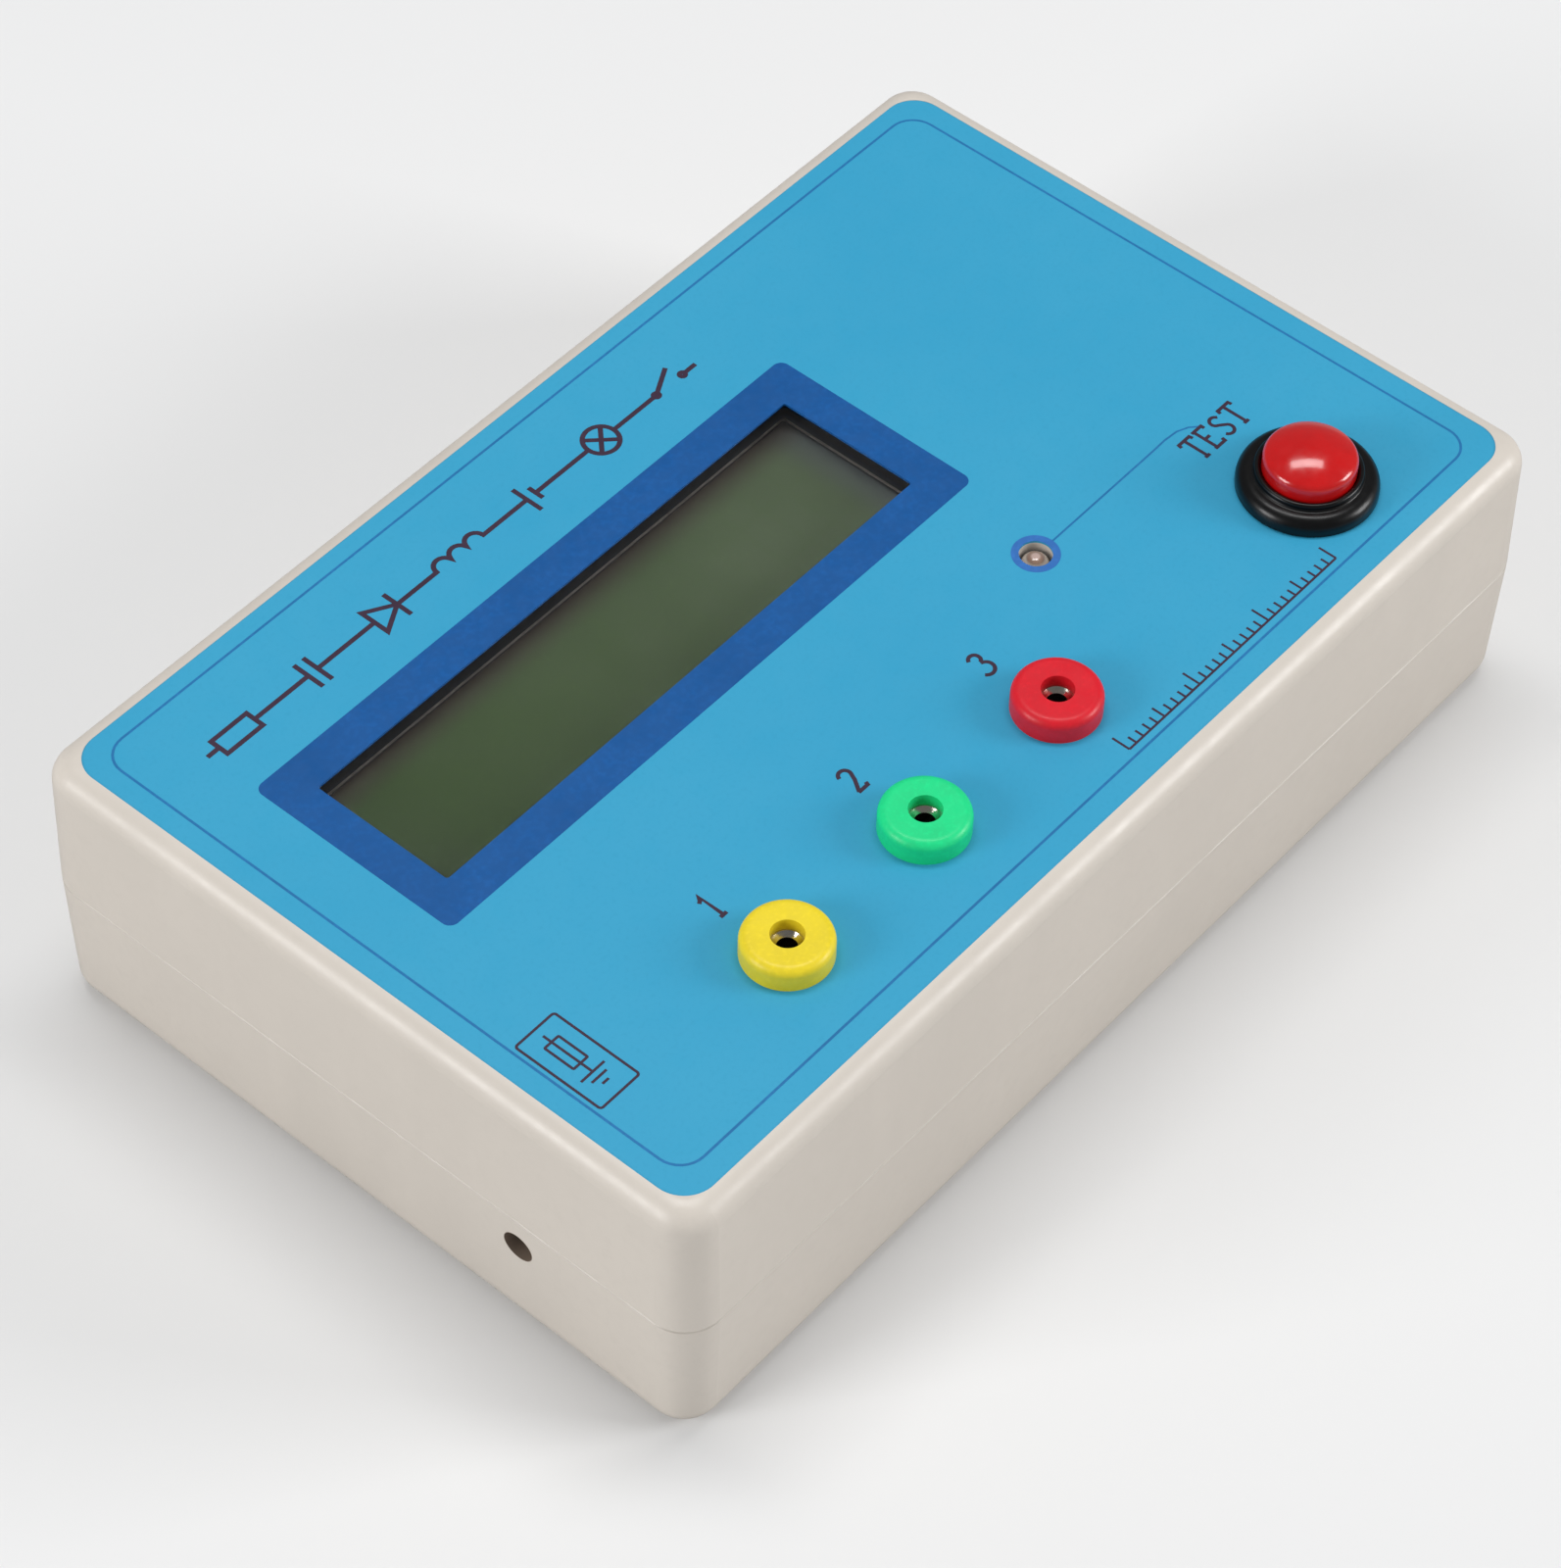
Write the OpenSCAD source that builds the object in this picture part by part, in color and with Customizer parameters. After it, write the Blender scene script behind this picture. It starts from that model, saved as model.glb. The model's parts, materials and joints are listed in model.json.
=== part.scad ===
// Component tester: a bench instrument in a two-part moulded case, with a character
// display, three test sockets, a push button and a status lamp on its front panel.
// The origin is the centre of the underside: +X to the right of someone reading the
// panel, +Y away from them, +Z up. All sizes are in millimetres.

/* [Case] */
// Width of the case at the seam
case_w = 125; // [124:0.5:135]
// Depth of the case at the seam
case_d = 80; // [79:0.5:90]
// Height of the closed case
case_h = 32; // [31:0.5:36]
// Height of the seam between the two shells
seam_z = 16; // [15:0.5:18]
// How far each side leans in over the height of one shell
draft = 0.44; // [0.1:0.02:0.8]
// Radius of the upright corners at the seam
corner_r = 4.1; // [3.8:0.1:6]
// Radius of the edges round the top and the bottom face
edge_r = 2.5; // [1.5:0.1:3]
// Thickness of the side walls where they are thinnest
wall = 2; // [1.6:0.1:2.2]
// Thickness of the front panel of the top shell
plate_t = 2.5; // [2:0.1:3]
// Thickness of the floor of the bottom shell
floor_t = 2.2; // [1.8:0.1:2.4]
// Bevel on the rim of each shell, which makes the shadow line of the seam
seam_bevel = 0.14; // [0.05:0.01:0.3]
// Thickness of the locating lip on the bottom shell
lip_t = 1.1; // [0.8:0.1:1.4]
// Height of the locating lip
lip_h = 1.5; // [1:0.1:2.5]
// Distance from the inner end walls to the screw posts' centres
post_inset = 4.06; // [3.9:0.02:4.6]
// Radius of the screw posts of the bottom shell
post_r = 4.25; // [3.9:0.05:4.4]
// Radius of the screw posts of the top shell
top_post_r = 3.75; // [3:0.05:3.9]

/* [Front panel film] */
// Distance between the film's short edges and the case's sides at the seam
film_margin_x = 2.7; // [2.5:0.1:4]
// Distance between the film's long edges and the case's sides at the seam
film_margin_y = 2.65; // [2.5:0.05:4]
// Corner radius of the film
film_r = 3.2; // [2:0.1:4]
// Thickness of the film
film_t = 0.25; // [0.15:0.05:0.3]
// Depth of the recess that the film lies in
recess_t = 0.3; // [0.3:0.05:0.4]

/* [Display] */
// Middle of the display, to the right of the case's middle
lcd_x = -14.9; // [-16:0.1:-14]
// Middle of the display, behind the case's middle
lcd_y = 10.15; // [8:0.05:10.5]
// Width of the clear window in the film
window_w = 64.7; // [62:0.1:66]
// Depth of the clear window in the film
window_d = 16; // [15:0.1:17]
// Thickness of the clear pane under the film
pane_t = 1; // [0.8:0.1:1.5]
// How far the pane reaches past the window on each side
pane_margin = 2; // [1.5:0.1:2.4]
// Width of the display's metal bezel
bezel_w = 71.2; // [71:0.1:72]
// Depth of the display's metal bezel
bezel_d = 24.2; // [24:0.1:25]
// Thickness of the bezel's sheet
bezel_t = 0.5; // [0.4:0.05:0.6]
// Width of the opening in the bezel
view_w = 64.5; // [62:0.1:66]
// Depth of the opening in the bezel
view_d = 16; // [15:0.1:17]
// Height of the bezel above its board
lcd_rise = 6.8; // [6.4:0.1:7.2]
// Thickness of the liquid crystal cell
cell_t = 2.2; // [1.8:0.1:2.6]
// Width of the display board
lcd_board_w = 80; // [79.5:0.5:81]
// Depth of the display board
lcd_board_d = 36; // [35.5:0.5:37]
// Distance between the display board's holes and its edges
lcd_hole_inset = 2.5; // [2.4:0.1:2.8]
// Number of pins on the display's header
pins = 16; // [14:1:16]

/* [Test sockets] */
// Middle of the middle socket, to the right of the case's middle
socket_x = -14.5; // [-16:0.5:-13]
// Middle of the sockets, behind the case's middle
socket_y = -25.85; // [-27:0.05:-25]
// Distance between neighbouring sockets
socket_pitch = 19; // [17:0.5:19.5]
// Radius of the coloured ring
ring_r = 4.35; // [4:0.05:4.8]
// Height of the coloured ring above the film
ring_h = 2.6; // [2.2:0.1:3.2]
// Rounding of the ring's upper edge
ring_edge = 0.9; // [0.5:0.1:1.2]
// Radius of the hole in the middle of the ring
ring_mouth_r = 1.6; // [1.5:0.05:1.7]
// Depth of the contact sleeve below the top of the ring
sleeve_drop = 1.3; // [0.8:0.1:1.6]
// Radius of the threaded neck under the ring
neck_r = 3; // [2.8:0.1:3.2]
// Length of the threaded neck below the front panel's underside
neck_len = 8; // [6:0.5:9]
// Outer radius of the contact sleeve
sleeve_r = 1.7; // [1.65:0.05:2]
// Radius of the bore that takes a plug
plug_r = 1; // [0.9:0.05:1.2]
// Depth of the bore that takes a plug
plug_depth = 13; // [11:0.5:14]
// Length of the sleeve that stands out behind the neck
sleeve_tail = 3.5; // [2:0.5:4]
// Width across the flats of the socket nuts
socket_nut_af = 8; // [7.5:0.5:9]
// Thickness of the socket nuts
socket_nut_t = 2.2; // [1.8:0.1:3]

/* [Push button] */
// Distance between the middle of the button and the right side of the case
button_inset = 20.1; // [19.5:0.1:21.5]
// Middle of the button, behind the case's middle
button_y = -26.25; // [-27:0.05:-26.2]
// Radius of the button's flange
flange_r = 6.95; // [6.7:0.05:7.5]
// Height of the flange above the film
flange_h = 1.9; // [1.5:0.1:2.2]
// Outer radius of the raised collar round the cap
collar_r = 5.3; // [5.2:0.05:5.6]
// Height of the raised collar above the film
collar_h = 2.6; // [2.4:0.1:3]
// Radius of the red cap
cap_r = 4.6; // [4.3:0.05:4.7]
// Height of the cap above the film
cap_h = 5.6; // [5:0.1:6.5]
// Height of the cap's crown, from its rim to its top
cap_crown = 1.1; // [0.6:0.1:1.6]
// How far the cap travels when it is pressed
press_travel = 1.8; // [1:0.1:2]
// Radius of the threaded barrel
barrel_r = 6; // [5.9:0.05:6.1]
// Length of the barrel below the front panel's underside
barrel_len = 17; // [16:0.5:18]
// Thickness of the barrel's bottom
barrel_floor = 1.5; // [1.2:0.1:2]
// Radius of the upper part of the plunger's stem
stem_r = 2.05; // [1.9:0.05:2.2]
// Radius of the lower part of the stem, inside the spring
stem_tip_r = 1.6; // [1.3:0.05:1.7]
// Thickness of the web that guides the stem
web_t = 2; // [1.5:0.1:2.5]
// Thickness of the moving contact bridge
bridge_t = 0.4; // [0.3:0.05:0.6]
// Radius of the moving contact bridge
bridge_r = 4.3; // [4.1:0.05:4.4]
// Middle radius of the return spring
spring_r = 2.35; // [2.3:0.05:2.5]
// Thickness of the return spring's wire
spring_wire = 0.5; // [0.4:0.05:0.6]
// Number of turns of the return spring
spring_turns = 7; // [5:1:8]
// Length of the solder tags below the barrel
tag_len = 4; // [3:0.5:4.5]
// Width across the flats of the button's nut
button_nut_af = 14; // [13.5:0.5:15]
// Thickness of the button's nut
button_nut_t = 2.5; // [2:0.1:3]
// Thickness of the button's washer
washer_t = 0.5; // [0.4:0.1:0.8]

/* [Status lamp] */
// Distance between the middle of the lamp and the right edge of the main board
lamp_inset = 3.8; // [3.6:0.1:5]
// Middle of the lamp, behind the case's middle
lamp_y = -12.45; // [-14:0.05:-12]
// Radius of the lamp's lens
lamp_r = 1.5; // [1.4:0.05:1.5]
// Depth of the lamp's tip below the film's face
lamp_drop = 0.3; // [0.1:0.05:0.6]
// Height of the lamp from its rim to its tip
lamp_h = 4.4; // [4:0.1:4.8]

/* [Contrast adjuster] */
// Middle of the hole in the left end wall, behind the case's middle
adjust_y = -19.7; // [-20:0.1:-19]
// Height of the hole in the left end wall
adjust_z = 12; // [11.5:0.1:12.5]
// Radius of the hole in the left end wall
adjust_hole_r = 1.65; // [1.5:0.05:1.9]
// Height of the adjuster's axis above the main board
trimmer_axis_h = 4.4; // [4:0.1:4.6]
// Radius of the adjuster's rotor
rotor_r = 2.2; // [2:0.05:2.4]
// Length of the adjuster's rotor
rotor_len = 2.4; // [2:0.1:2.8]
// Width of the screwdriver slots in the rotor
slot_w = 0.6; // [0.5:0.05:0.8]
// Depth of the screwdriver slots in the rotor
slot_t = 0.9; // [0.6:0.1:1.2]

/* [Boards] */
// Thickness of both circuit boards
board_t = 1.6; // [1.5:0.1:1.6]
// Depth of the main board
main_d = 57; // [56:0.5:57.5]
// Distance between the main board and the left end wall
main_gap = 2.6; // [2.4:0.1:3]
// Distance between pins on the boards
pin_pitch = 2.54; // [2.5:0.01:2.54]
// Number of legs along one side of the microcontroller
chip_legs = 14; // [10:1:14]
// Number of resistors in the row
resistor_count = 6; // [4:1:6]
// Height of the electrolytic capacitors
electrolytic_h = 11; // [9:0.5:11]
// Radius of the electrolytic capacitors
electrolytic_r = 3.15; // [2.5:0.05:3.3]

/* [Battery] */
// Width of the battery block
battery_w = 26.5; // [26:0.1:26.5]
// Length of the battery block without its terminals
battery_l = 46.4; // [45.5:0.1:46.4]
// Thickness of the battery block
battery_t = 17.5; // [17:0.1:17.5]
// Distance between the battery's terminals
terminal_pitch = 13; // [12.7:0.05:13]
// Thickness of the ribs round the battery
rib_t = 1.2; // [1:0.1:1.2]

/* [Fasteners] */
// Radius of the case screws' heads
case_screw_head_r = 2.8; // [2.6:0.05:2.9]
// Radius of the case screws' shanks
case_screw_r = 1.45; // [1.3:0.05:1.5]
// Length of the case screws' shanks
case_screw_len = 18; // [15:0.5:18]
// Height of the seat under the case screws' heads
case_screw_seat = 7; // [6:0.5:9]
// Radius of the board screws' heads
board_screw_head_r = 2.2; // [2:0.05:2.3]
// Thickness of every screw head
screw_head_t = 1.3; // [1:0.1:1.5]
// Radius of the board screws' shanks
board_screw_r = 1; // [0.9:0.05:1.1]
// Radius of the bosses that carry the boards
boss_r = 2.6; // [2.4:0.05:2.8]

/* [Fits] */
// Radial clearance of a sliding or a turning fit
slide_gap = 0.05; // [0.03:0.01:0.08]
// Radial clearance between the cap and its collar
cap_gap = 0.1; // [0.08:0.01:0.1]
// Clearance between parts that are laid in place
seat_gap = 0.15; // [0.1:0.05:0.2]
// Radial clearance of a screw or a neck in its hole
hole_gap = 0.15; // [0.1:0.05:0.3]

/* [Hidden] */
$fn = 48;
eps = 0.01;

// Case
cavity_w = case_w - 2 * (draft + wall);
cavity_d = case_d - 2 * (draft + wall);
cavity_r = max(corner_r - draft - wall, 0.8);
plate_z = case_h - plate_t;
film_w = case_w - 2 * film_margin_x;
film_d = case_d - 2 * film_margin_y;
film_z = case_h - recess_t;
panel_z = film_z + film_t;
post_x = cavity_w / 2 - post_inset;
post_y = cavity_d / 2 - post_inset;
post_points = [for (i = [-1, 1], j = [-1, 1]) [i * post_x, j * post_y]];
case_head_t = 2;
head_bore_r = case_screw_head_r + 2 * hole_gap;
left_wall_x = -cavity_w / 2;

// Display
cutout_w = window_w + 2 * pane_margin + 2 * seat_gap;
cutout_d = window_d + 2 * pane_margin + 2 * seat_gap;
lcd_board_z = plate_z - lcd_rise - board_t;
lcd_board_top = lcd_board_z + board_t;
cell_z = plate_z - bezel_t - cell_t;
cell_margin = bezel_t + seat_gap;
strip_d = 2;
strip_end = 3;
backlight_end = 2.5;
lcd_hole_x = lcd_board_w / 2 - lcd_hole_inset;
lcd_hole_y = lcd_board_d / 2 - lcd_hole_inset;
lcd_points = [for (i = [-1, 1], j = [-1, 1]) [lcd_x + i * lcd_hole_x, lcd_y + j * lcd_hole_y]];
lcd_board_x1 = lcd_x + lcd_board_w / 2;
header_inset = 5.8;
header_edge = 2;
header_x = lcd_x - lcd_hole_x + header_inset;
header_y = lcd_y + lcd_board_d / 2 - header_edge;
header_w = pins * pin_pitch;
header_d = 2.5;
header_t = 2.5;
pin_w = 0.64;
pin_gap = 0.08;
pin_reach = 9.8;
tab_w = 2.4;
tab_x = 22;
tab_reach = 0.5;
blob_r = 6;
blob_h = 1.5;

// Battery
battery_gap = 0.05;
barrel_gap = 0.75;
battery_x1 = post_x - post_r - battery_gap;
battery_x0 = battery_x1 - battery_w;
battery_x = battery_x1 - battery_w / 2;
battery_y0 = button_y + barrel_r + barrel_gap;
battery_y1 = battery_y0 + battery_l;
terminal_z = floor_t + battery_t / 2;
terminal_len = 2.2;
clip_w = 26;
clip_h = 12;
clip_gap = 0.3;
clip_y0 = battery_y1 + clip_gap;
clip_t = 5;
clip_x0 = battery_x - clip_w / 2;

// Main board
main_top = adjust_z - trimmer_axis_h;
main_z = main_top - board_t;
main_x0 = left_wall_x + main_gap;
main_bay_gap = 3.2;
main_x1 = battery_x0 - main_bay_gap;
main_hole_x0 = main_x0 + 8.5;
main_hole_x1 = main_x1 - 4;
main_hole_y0 = 3 - main_d / 2;
main_hole_y1 = main_d / 2 - 6.5;
main_points = [for (x = [main_hole_x0, main_hole_x1], y = [main_hole_y0, main_hole_y1]) [x, y]];
lead_r = 0.3;
lead_w = 0.5;
lead_hole_r = 0.45;
lead_reach = 2.8;
socket_strip_h = 8.5;

// Places of the components on the main board
lamp_x = main_x1 - lamp_inset;
chip_shift = 7;
chip_x = lcd_x - chip_shift;
chip_y = 3;
chip_row = 3.81;
chip_x0 = chip_x - (chip_legs - 1) * pin_pitch / 2;
carrier_z = main_top + 0.4;
carrier_h = 4.2;
chip_z = carrier_z + carrier_h + 0.6;
chip_h = 3.3;
resistor_shift = 24;
resistor_x0 = lcd_x - resistor_shift;
resistor_pitch = 7;
resistor_y = -10;
resistor_span = 10.16;
resistor_r = 1.15;
resistor_l = 6.3;
crystal_shift = 16;
crystal_x = lcd_x + crystal_shift;
crystal_y = 16;
electrolytic_shift = 32.5;
electrolytic_x = lcd_x - electrolytic_shift;
electrolytic_y = 6;
electrolytic_pitch = 9;
electrolytic_points = [for (i = [0, 1]) [electrolytic_x, electrolytic_y + i * electrolytic_pitch]];
disc_spread = 4;
disc_y = 9.5;
lone_disc_y = -2;
disc_points = [[crystal_x - disc_spread, disc_y], [crystal_x + disc_spread, disc_y],
    [electrolytic_x, lone_disc_y]];
regulator_inset = 4.9;
regulator_x = main_x1 - regulator_inset;
regulator_y = 14;
transistor_y = 7;
transistor_pitch = 6.5;
transistor_points = [for (i = [0:2]) [regulator_x, transistor_y - i * transistor_pitch]];

// Contrast adjuster
trimmer_w = 6.8;
trimmer_t = 4.5;
trimmer_h = trimmer_axis_h + trimmer_w / 2;
trimmer_x = main_x0 + 0.6;
rotor_x = trimmer_x - 0.4;

// Test sockets
socket_points = [for (i = [-1:1]) [socket_x + i * socket_pitch, socket_y]];
ring_top = panel_z + ring_h;
sleeve_top = ring_top - sleeve_drop;
neck_z = plate_z - neck_len;
sleeve_z = neck_z - sleeve_tail;
sleeve_cone = 0.45;
socket_tag_w = 2.4;
socket_tag_t = 0.8;
socket_tag_len = 3.5;
wire_r = 0.6;

// Push button
button_x = case_w / 2 - button_inset;
collar_top = panel_z + collar_h;
cap_top = panel_z + cap_h;
cap_z = plate_z + 0.4;
web_top = cap_z - press_travel - 0.1;
web_z = web_top - web_t;
barrel_z = plate_z - barrel_len;
barrel_floor_z = barrel_z + barrel_floor;
bridge_top = web_z - 0.3;
bridge_z = bridge_top - bridge_t;
chamber_r = barrel_r - 1.1;
contact_top = bridge_z - press_travel - 0.05;
contact_x = 3.4;
contact_t = 0.6;
contact_w = 2.4;
stem_tip_z = barrel_floor_z + press_travel + 0.8;

// Routes of the internal leads, each from its terminal to its pad on the main board
tag_gap = 0.05;
socket_route = [[0, 0, 0], [0, 1, 0], [0.6, 2.2, -1.2], [1.4, 3.6, -3.2], [2.1, 4.8, -5.6],
    [2.4, 5.4, -7.2]];
near_start = [button_x - contact_x - contact_t - tag_gap, button_y, barrel_z - 2.1];
near_button_route = [near_start, near_start + [-1.4, 0, 0], [32, -25.2, 10], [27, -24, 9.6],
    [23, -23, 9.6], [20.6, -21.8, 9.4], [19.8, -21, 8.8]];
far_start = [button_x + contact_x + contact_t + tag_gap, button_y, barrel_z - 2.1];
far_button_route = [far_start, far_start + [1.2, 0, 0], [49, -27.8, 10], [48, -30.2, 9.8],
    [45, -31.6, 9.4], [37, -31.4, 9.2], [29, -30.6, 9.2], [21, -30.4, 9.6], [15.6, -29.4, 10],
    [13, -27, 9.8], [12.2, -24.8, 9]];
red_start = [clip_x0 - tag_gap, clip_y0 + clip_t / 2, terminal_z + 2];
red_route = [red_start, red_start + [-1.5, 0, 0], [19, 29.8, 12.6], [15.4, 28.6, 11.6],
    [13.2, 26.8, 10.2], [12.6, 25.8, 9]];
black_start = [clip_x0 - tag_gap, clip_y0 + clip_t / 2, terminal_z - 1.2];
black_route = [black_start, black_start + [-1.5, 0, 0], [18, 30.2, 9.5], [12.6, 29.6, 9.4],
    [9.8, 27.6, 9.4], [9.2, 26, 8.9]];

// ---- Shared shapes ----

// Rectangle with round corners, centred on the origin
module rounded_rect(w, d, r) {
    square([w - 2 * r, d], center = true);
    square([w, d - 2 * r], center = true);
    for (i = [-1, 1], j = [-1, 1])
        translate([i * (w / 2 - r), j * (d / 2 - r)])
            circle(r);
}

// Upright slab with round corners, centred in X and Y
module rounded_slab(w, d, h, r) {
    linear_extrude(h)
        rounded_rect(w, d, r);
}

// Box that is centred in X and Y and stands on z = 0
module block(w, d, h) {
    translate([-w / 2, -d / 2, 0])
        cube([w, d, h]);
}

// Copies of a shape at a list of places in the plane
module at_points(points) {
    for (p = points)
        translate([p[0], p[1], 0])
            children();
}

// Pan head screw with its shank along -Z from the seat at z = 0
module screw(head_r, head_t, shank_r, shank_len) {
    edge = 0.5;
    difference() {
        rotate_extrude() {
            difference() {
                square([head_r, head_t]);
                translate([head_r - edge, head_t - edge])
                    square(edge + eps);
            }
            translate([head_r - edge, head_t - edge])
                intersection() {
                    circle(edge, $fn = 32);
                    square(edge);
                }
        }
        for (turn = [0, 90])
            rotate(turn)
                translate([0, 0, head_t - 0.8])
                    block(head_r * 1.2, 0.5, 0.8 + eps);
    }
    translate([0, 0, -shank_len])
        cylinder(shank_len, shank_r, shank_r);
    translate([0, 0, -shank_len - shank_r])
        cylinder(shank_r, 0.2, shank_r);
}

// Hexagon nut that stands on z = 0
module hex_nut(across_flats, t, bore_r) {
    difference() {
        cylinder(t, across_flats / sqrt(3), across_flats / sqrt(3), $fn = 6);
        translate([0, 0, -eps])
            cylinder(t + 2 * eps, bore_r, bore_r);
    }
}

// Round wire along a route: one ring of sides at each point, square to the route there
function unit(v) = v / norm(v);
function route_dir(route, i) = unit(route[min(i + 1, len(route) - 1)] - route[max(i - 1, 0)]);
function side_dir(d) = unit(cross(d, abs(d[0]) < 0.9 ? [1, 0, 0] : [0, 1, 0]));
function carried(side, d) = unit(side - (side * d) * d);
function side_dirs(route, i = 0, last = undef) =
    i == len(route) ? [] :
    let (d = route_dir(route, i), s = last == undef ? side_dir(d) : carried(last, d))
    concat([s], side_dirs(route, i + 1, s));

module wire(route, r, sides = 8) {
    last = len(route) - 1;
    across = side_dirs(route);
    ring_points = [for (i = [0:last]) let (s = across[i], t = cross(route_dir(route, i), s))
        for (k = [0:sides - 1]) route[i] + r * (cos(360 * k / sides) * s + sin(360 * k / sides) * t)];
    walls = [for (i = [0:last - 1], k = [0:sides - 1])
        [(i + 1) * sides + k, (i + 1) * sides + (k + 1) % sides,
         i * sides + (k + 1) % sides, i * sides + k]];
    first_cap = [for (k = [0:sides - 1]) k];
    last_cap = [for (k = [sides - 1:-1:0]) last * sides + k];
    polyhedron(ring_points, concat([first_cap, last_cap], walls), convexity = 4);
}

// Insulated lead that ends upright on the main board under the last point of its route
module lead(route) {
    end = route[len(route) - 1];
    wire(concat(route, [[end[0], end[1], main_top]]), wire_r);
}

// ---- Case ----

// Outline of one shell's side, from the middle of a corner out to the wall and up to the face
module side_outline(h) {
    lean = atan(draft / h);
    arc_z = h - edge_r;
    arc_x = corner_r - (edge_r + arc_z * sin(lean)) / cos(lean);
    intersection() {
        union() {
            polygon([[0, 0], [corner_r - seam_bevel, 0],
                [corner_r - seam_bevel * tan(lean), seam_bevel],
                [arc_x + edge_r * cos(lean), arc_z + edge_r * sin(lean)],
                [arc_x, h], [0, h]]);
            translate([arc_x, arc_z])
                circle(edge_r);
        }
        square([corner_r, h]);
    }
}

// Solid of one shell with its seam on z = 0 and its face at z = h
module shell_solid(h) {
    across_x = case_w / 2 - corner_r;
    across_y = case_d / 2 - corner_r;
    for (i = [0, 1], j = [0, 1])
        mirror([i, 0, 0])
            mirror([0, j, 0])
                translate([across_x, across_y, 0])
                    rotate_extrude(angle = 90)
                        side_outline(h);
    for (i = [0, 1]) {
        mirror([i, 0, 0])
            translate([across_x, across_y, 0])
                rotate([90, 0, 0])
                    linear_extrude(2 * across_y)
                        side_outline(h);
        mirror([0, i, 0])
            translate([-across_x, across_y, 0])
                rotate([90, 0, 90])
                    linear_extrude(2 * across_x)
                        side_outline(h);
    }
    block(2 * across_x, 2 * across_y, h);
}

module shell_color() {
    color([0.84, 0.81, 0.77])
        children();
}

module bottom_shell() {
    shell_color()
        difference() {
            union() {
                difference() {
                    translate([0, 0, seam_z])
                        mirror([0, 0, 1])
                            shell_solid(seam_z);
                    translate([0, 0, floor_t])
                        rounded_slab(cavity_w, cavity_d, seam_z, cavity_r);
                }
                lip();
                at_points(post_points)
                    translate([0, 0, floor_t - eps])
                        cylinder(seam_z - 0.1 - floor_t + eps, post_r, post_r);
                at_points(main_points)
                    translate([0, 0, floor_t - eps])
                        cylinder(main_z - floor_t + eps, boss_r, boss_r);
                battery_ribs();
            }
            at_points(post_points) {
                translate([0, 0, -eps])
                    cylinder(case_screw_seat + eps, head_bore_r, head_bore_r);
                cylinder(seam_z, case_screw_r + hole_gap, case_screw_r + hole_gap);
            }
            at_points(main_points)
                translate([0, 0, floor_t])
                    cylinder(main_z, board_screw_r + slide_gap, board_screw_r + slide_gap);
            translate([-case_w / 2 - 1, adjust_y, adjust_z])
                rotate([0, 90, 0])
                    cylinder(wall + draft + 1.5, adjust_hole_r, adjust_hole_r);
        }
}

// Locating lip that stands on the bottom shell's rim
module lip() {
    difference() {
        translate([0, 0, seam_z - 1])
            rounded_slab(cavity_w + 2 * lip_t, cavity_d + 2 * lip_t, lip_h + 1, cavity_r + lip_t);
        translate([0, 0, seam_z - 1 - eps])
            rounded_slab(cavity_w, cavity_d, lip_h + 1 + 2 * eps, cavity_r);
    }
}

// Low ribs on the floor that hold the battery on three sides
module battery_ribs() {
    gap = 0.4;
    foot = floor_t - eps;
    side_h = 6;
    long = battery_l - 12;
    for (x = [battery_x - battery_w / 2 - gap - rib_t, battery_x1 + gap])
        translate([x, battery_y0 + 4, foot])
            cube([rib_t, long, side_h]);
    translate([battery_x - battery_w / 3, battery_y0 - gap - rib_t, foot])
        cube([battery_w * 2 / 3, rib_t, side_h / 2]);
}

module top_shell() {
    rib_reach = plate_z - (floor_t + battery_t) - clip_gap;
    rib_x0 = lcd_board_x1 + 2.1;
    rib_x1 = battery_x1 - 2;
    pilot_r = case_screw_r + slide_gap;
    shell_color()
        difference() {
            union() {
                difference() {
                    translate([0, 0, seam_z])
                        shell_solid(case_h - seam_z);
                    translate([0, 0, seam_z - eps])
                        rounded_slab(cavity_w, cavity_d, plate_z - seam_z + eps, cavity_r);
                    translate([0, 0, seam_z - eps])
                        rounded_slab(cavity_w + 2 * (lip_t + seat_gap), cavity_d + 2 * (lip_t + seat_gap),
                            lip_h + seat_gap + eps, cavity_r + lip_t + seat_gap);
                }
                at_points(post_points)
                    translate([0, 0, seam_z + 0.1])
                        cylinder(plate_z - seam_z - 0.1 + eps, top_post_r, top_post_r);
                at_points(lcd_points)
                    translate([0, 0, lcd_board_top])
                        cylinder(lcd_rise + eps, boss_r, boss_r);
                for (y = [battery_y0 + 10, battery_y1 - 12])
                    translate([rib_x0, y, plate_z - rib_reach])
                        cube([rib_x1 - rib_x0, rib_t, rib_reach + eps]);
            }
            translate([0, 0, film_z])
                rounded_slab(film_w + 2 * seat_gap, film_d + 2 * seat_gap, 1, film_r + seat_gap);
            at_points(post_points)
                cylinder(case_screw_seat + case_screw_len + 2, pilot_r, pilot_r);
            at_points(lcd_points)
                translate([0, 0, lcd_board_top - eps])
                    cylinder(5.5, board_screw_r + slide_gap, board_screw_r + slide_gap);
            translate([lcd_x, lcd_y, plate_z - eps])
                rounded_slab(cutout_w, cutout_d, plate_t, 1);
            translate([lamp_x, lamp_y, plate_z - eps])
                cylinder(plate_t, lamp_r + hole_gap, lamp_r + hole_gap);
            at_points(socket_points)
                translate([0, 0, plate_z - eps])
                    cylinder(plate_t, neck_r + hole_gap, neck_r + hole_gap);
            translate([button_x, button_y, plate_z - eps])
                cylinder(plate_t, barrel_r + hole_gap, barrel_r + hole_gap);
        }
}

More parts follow.
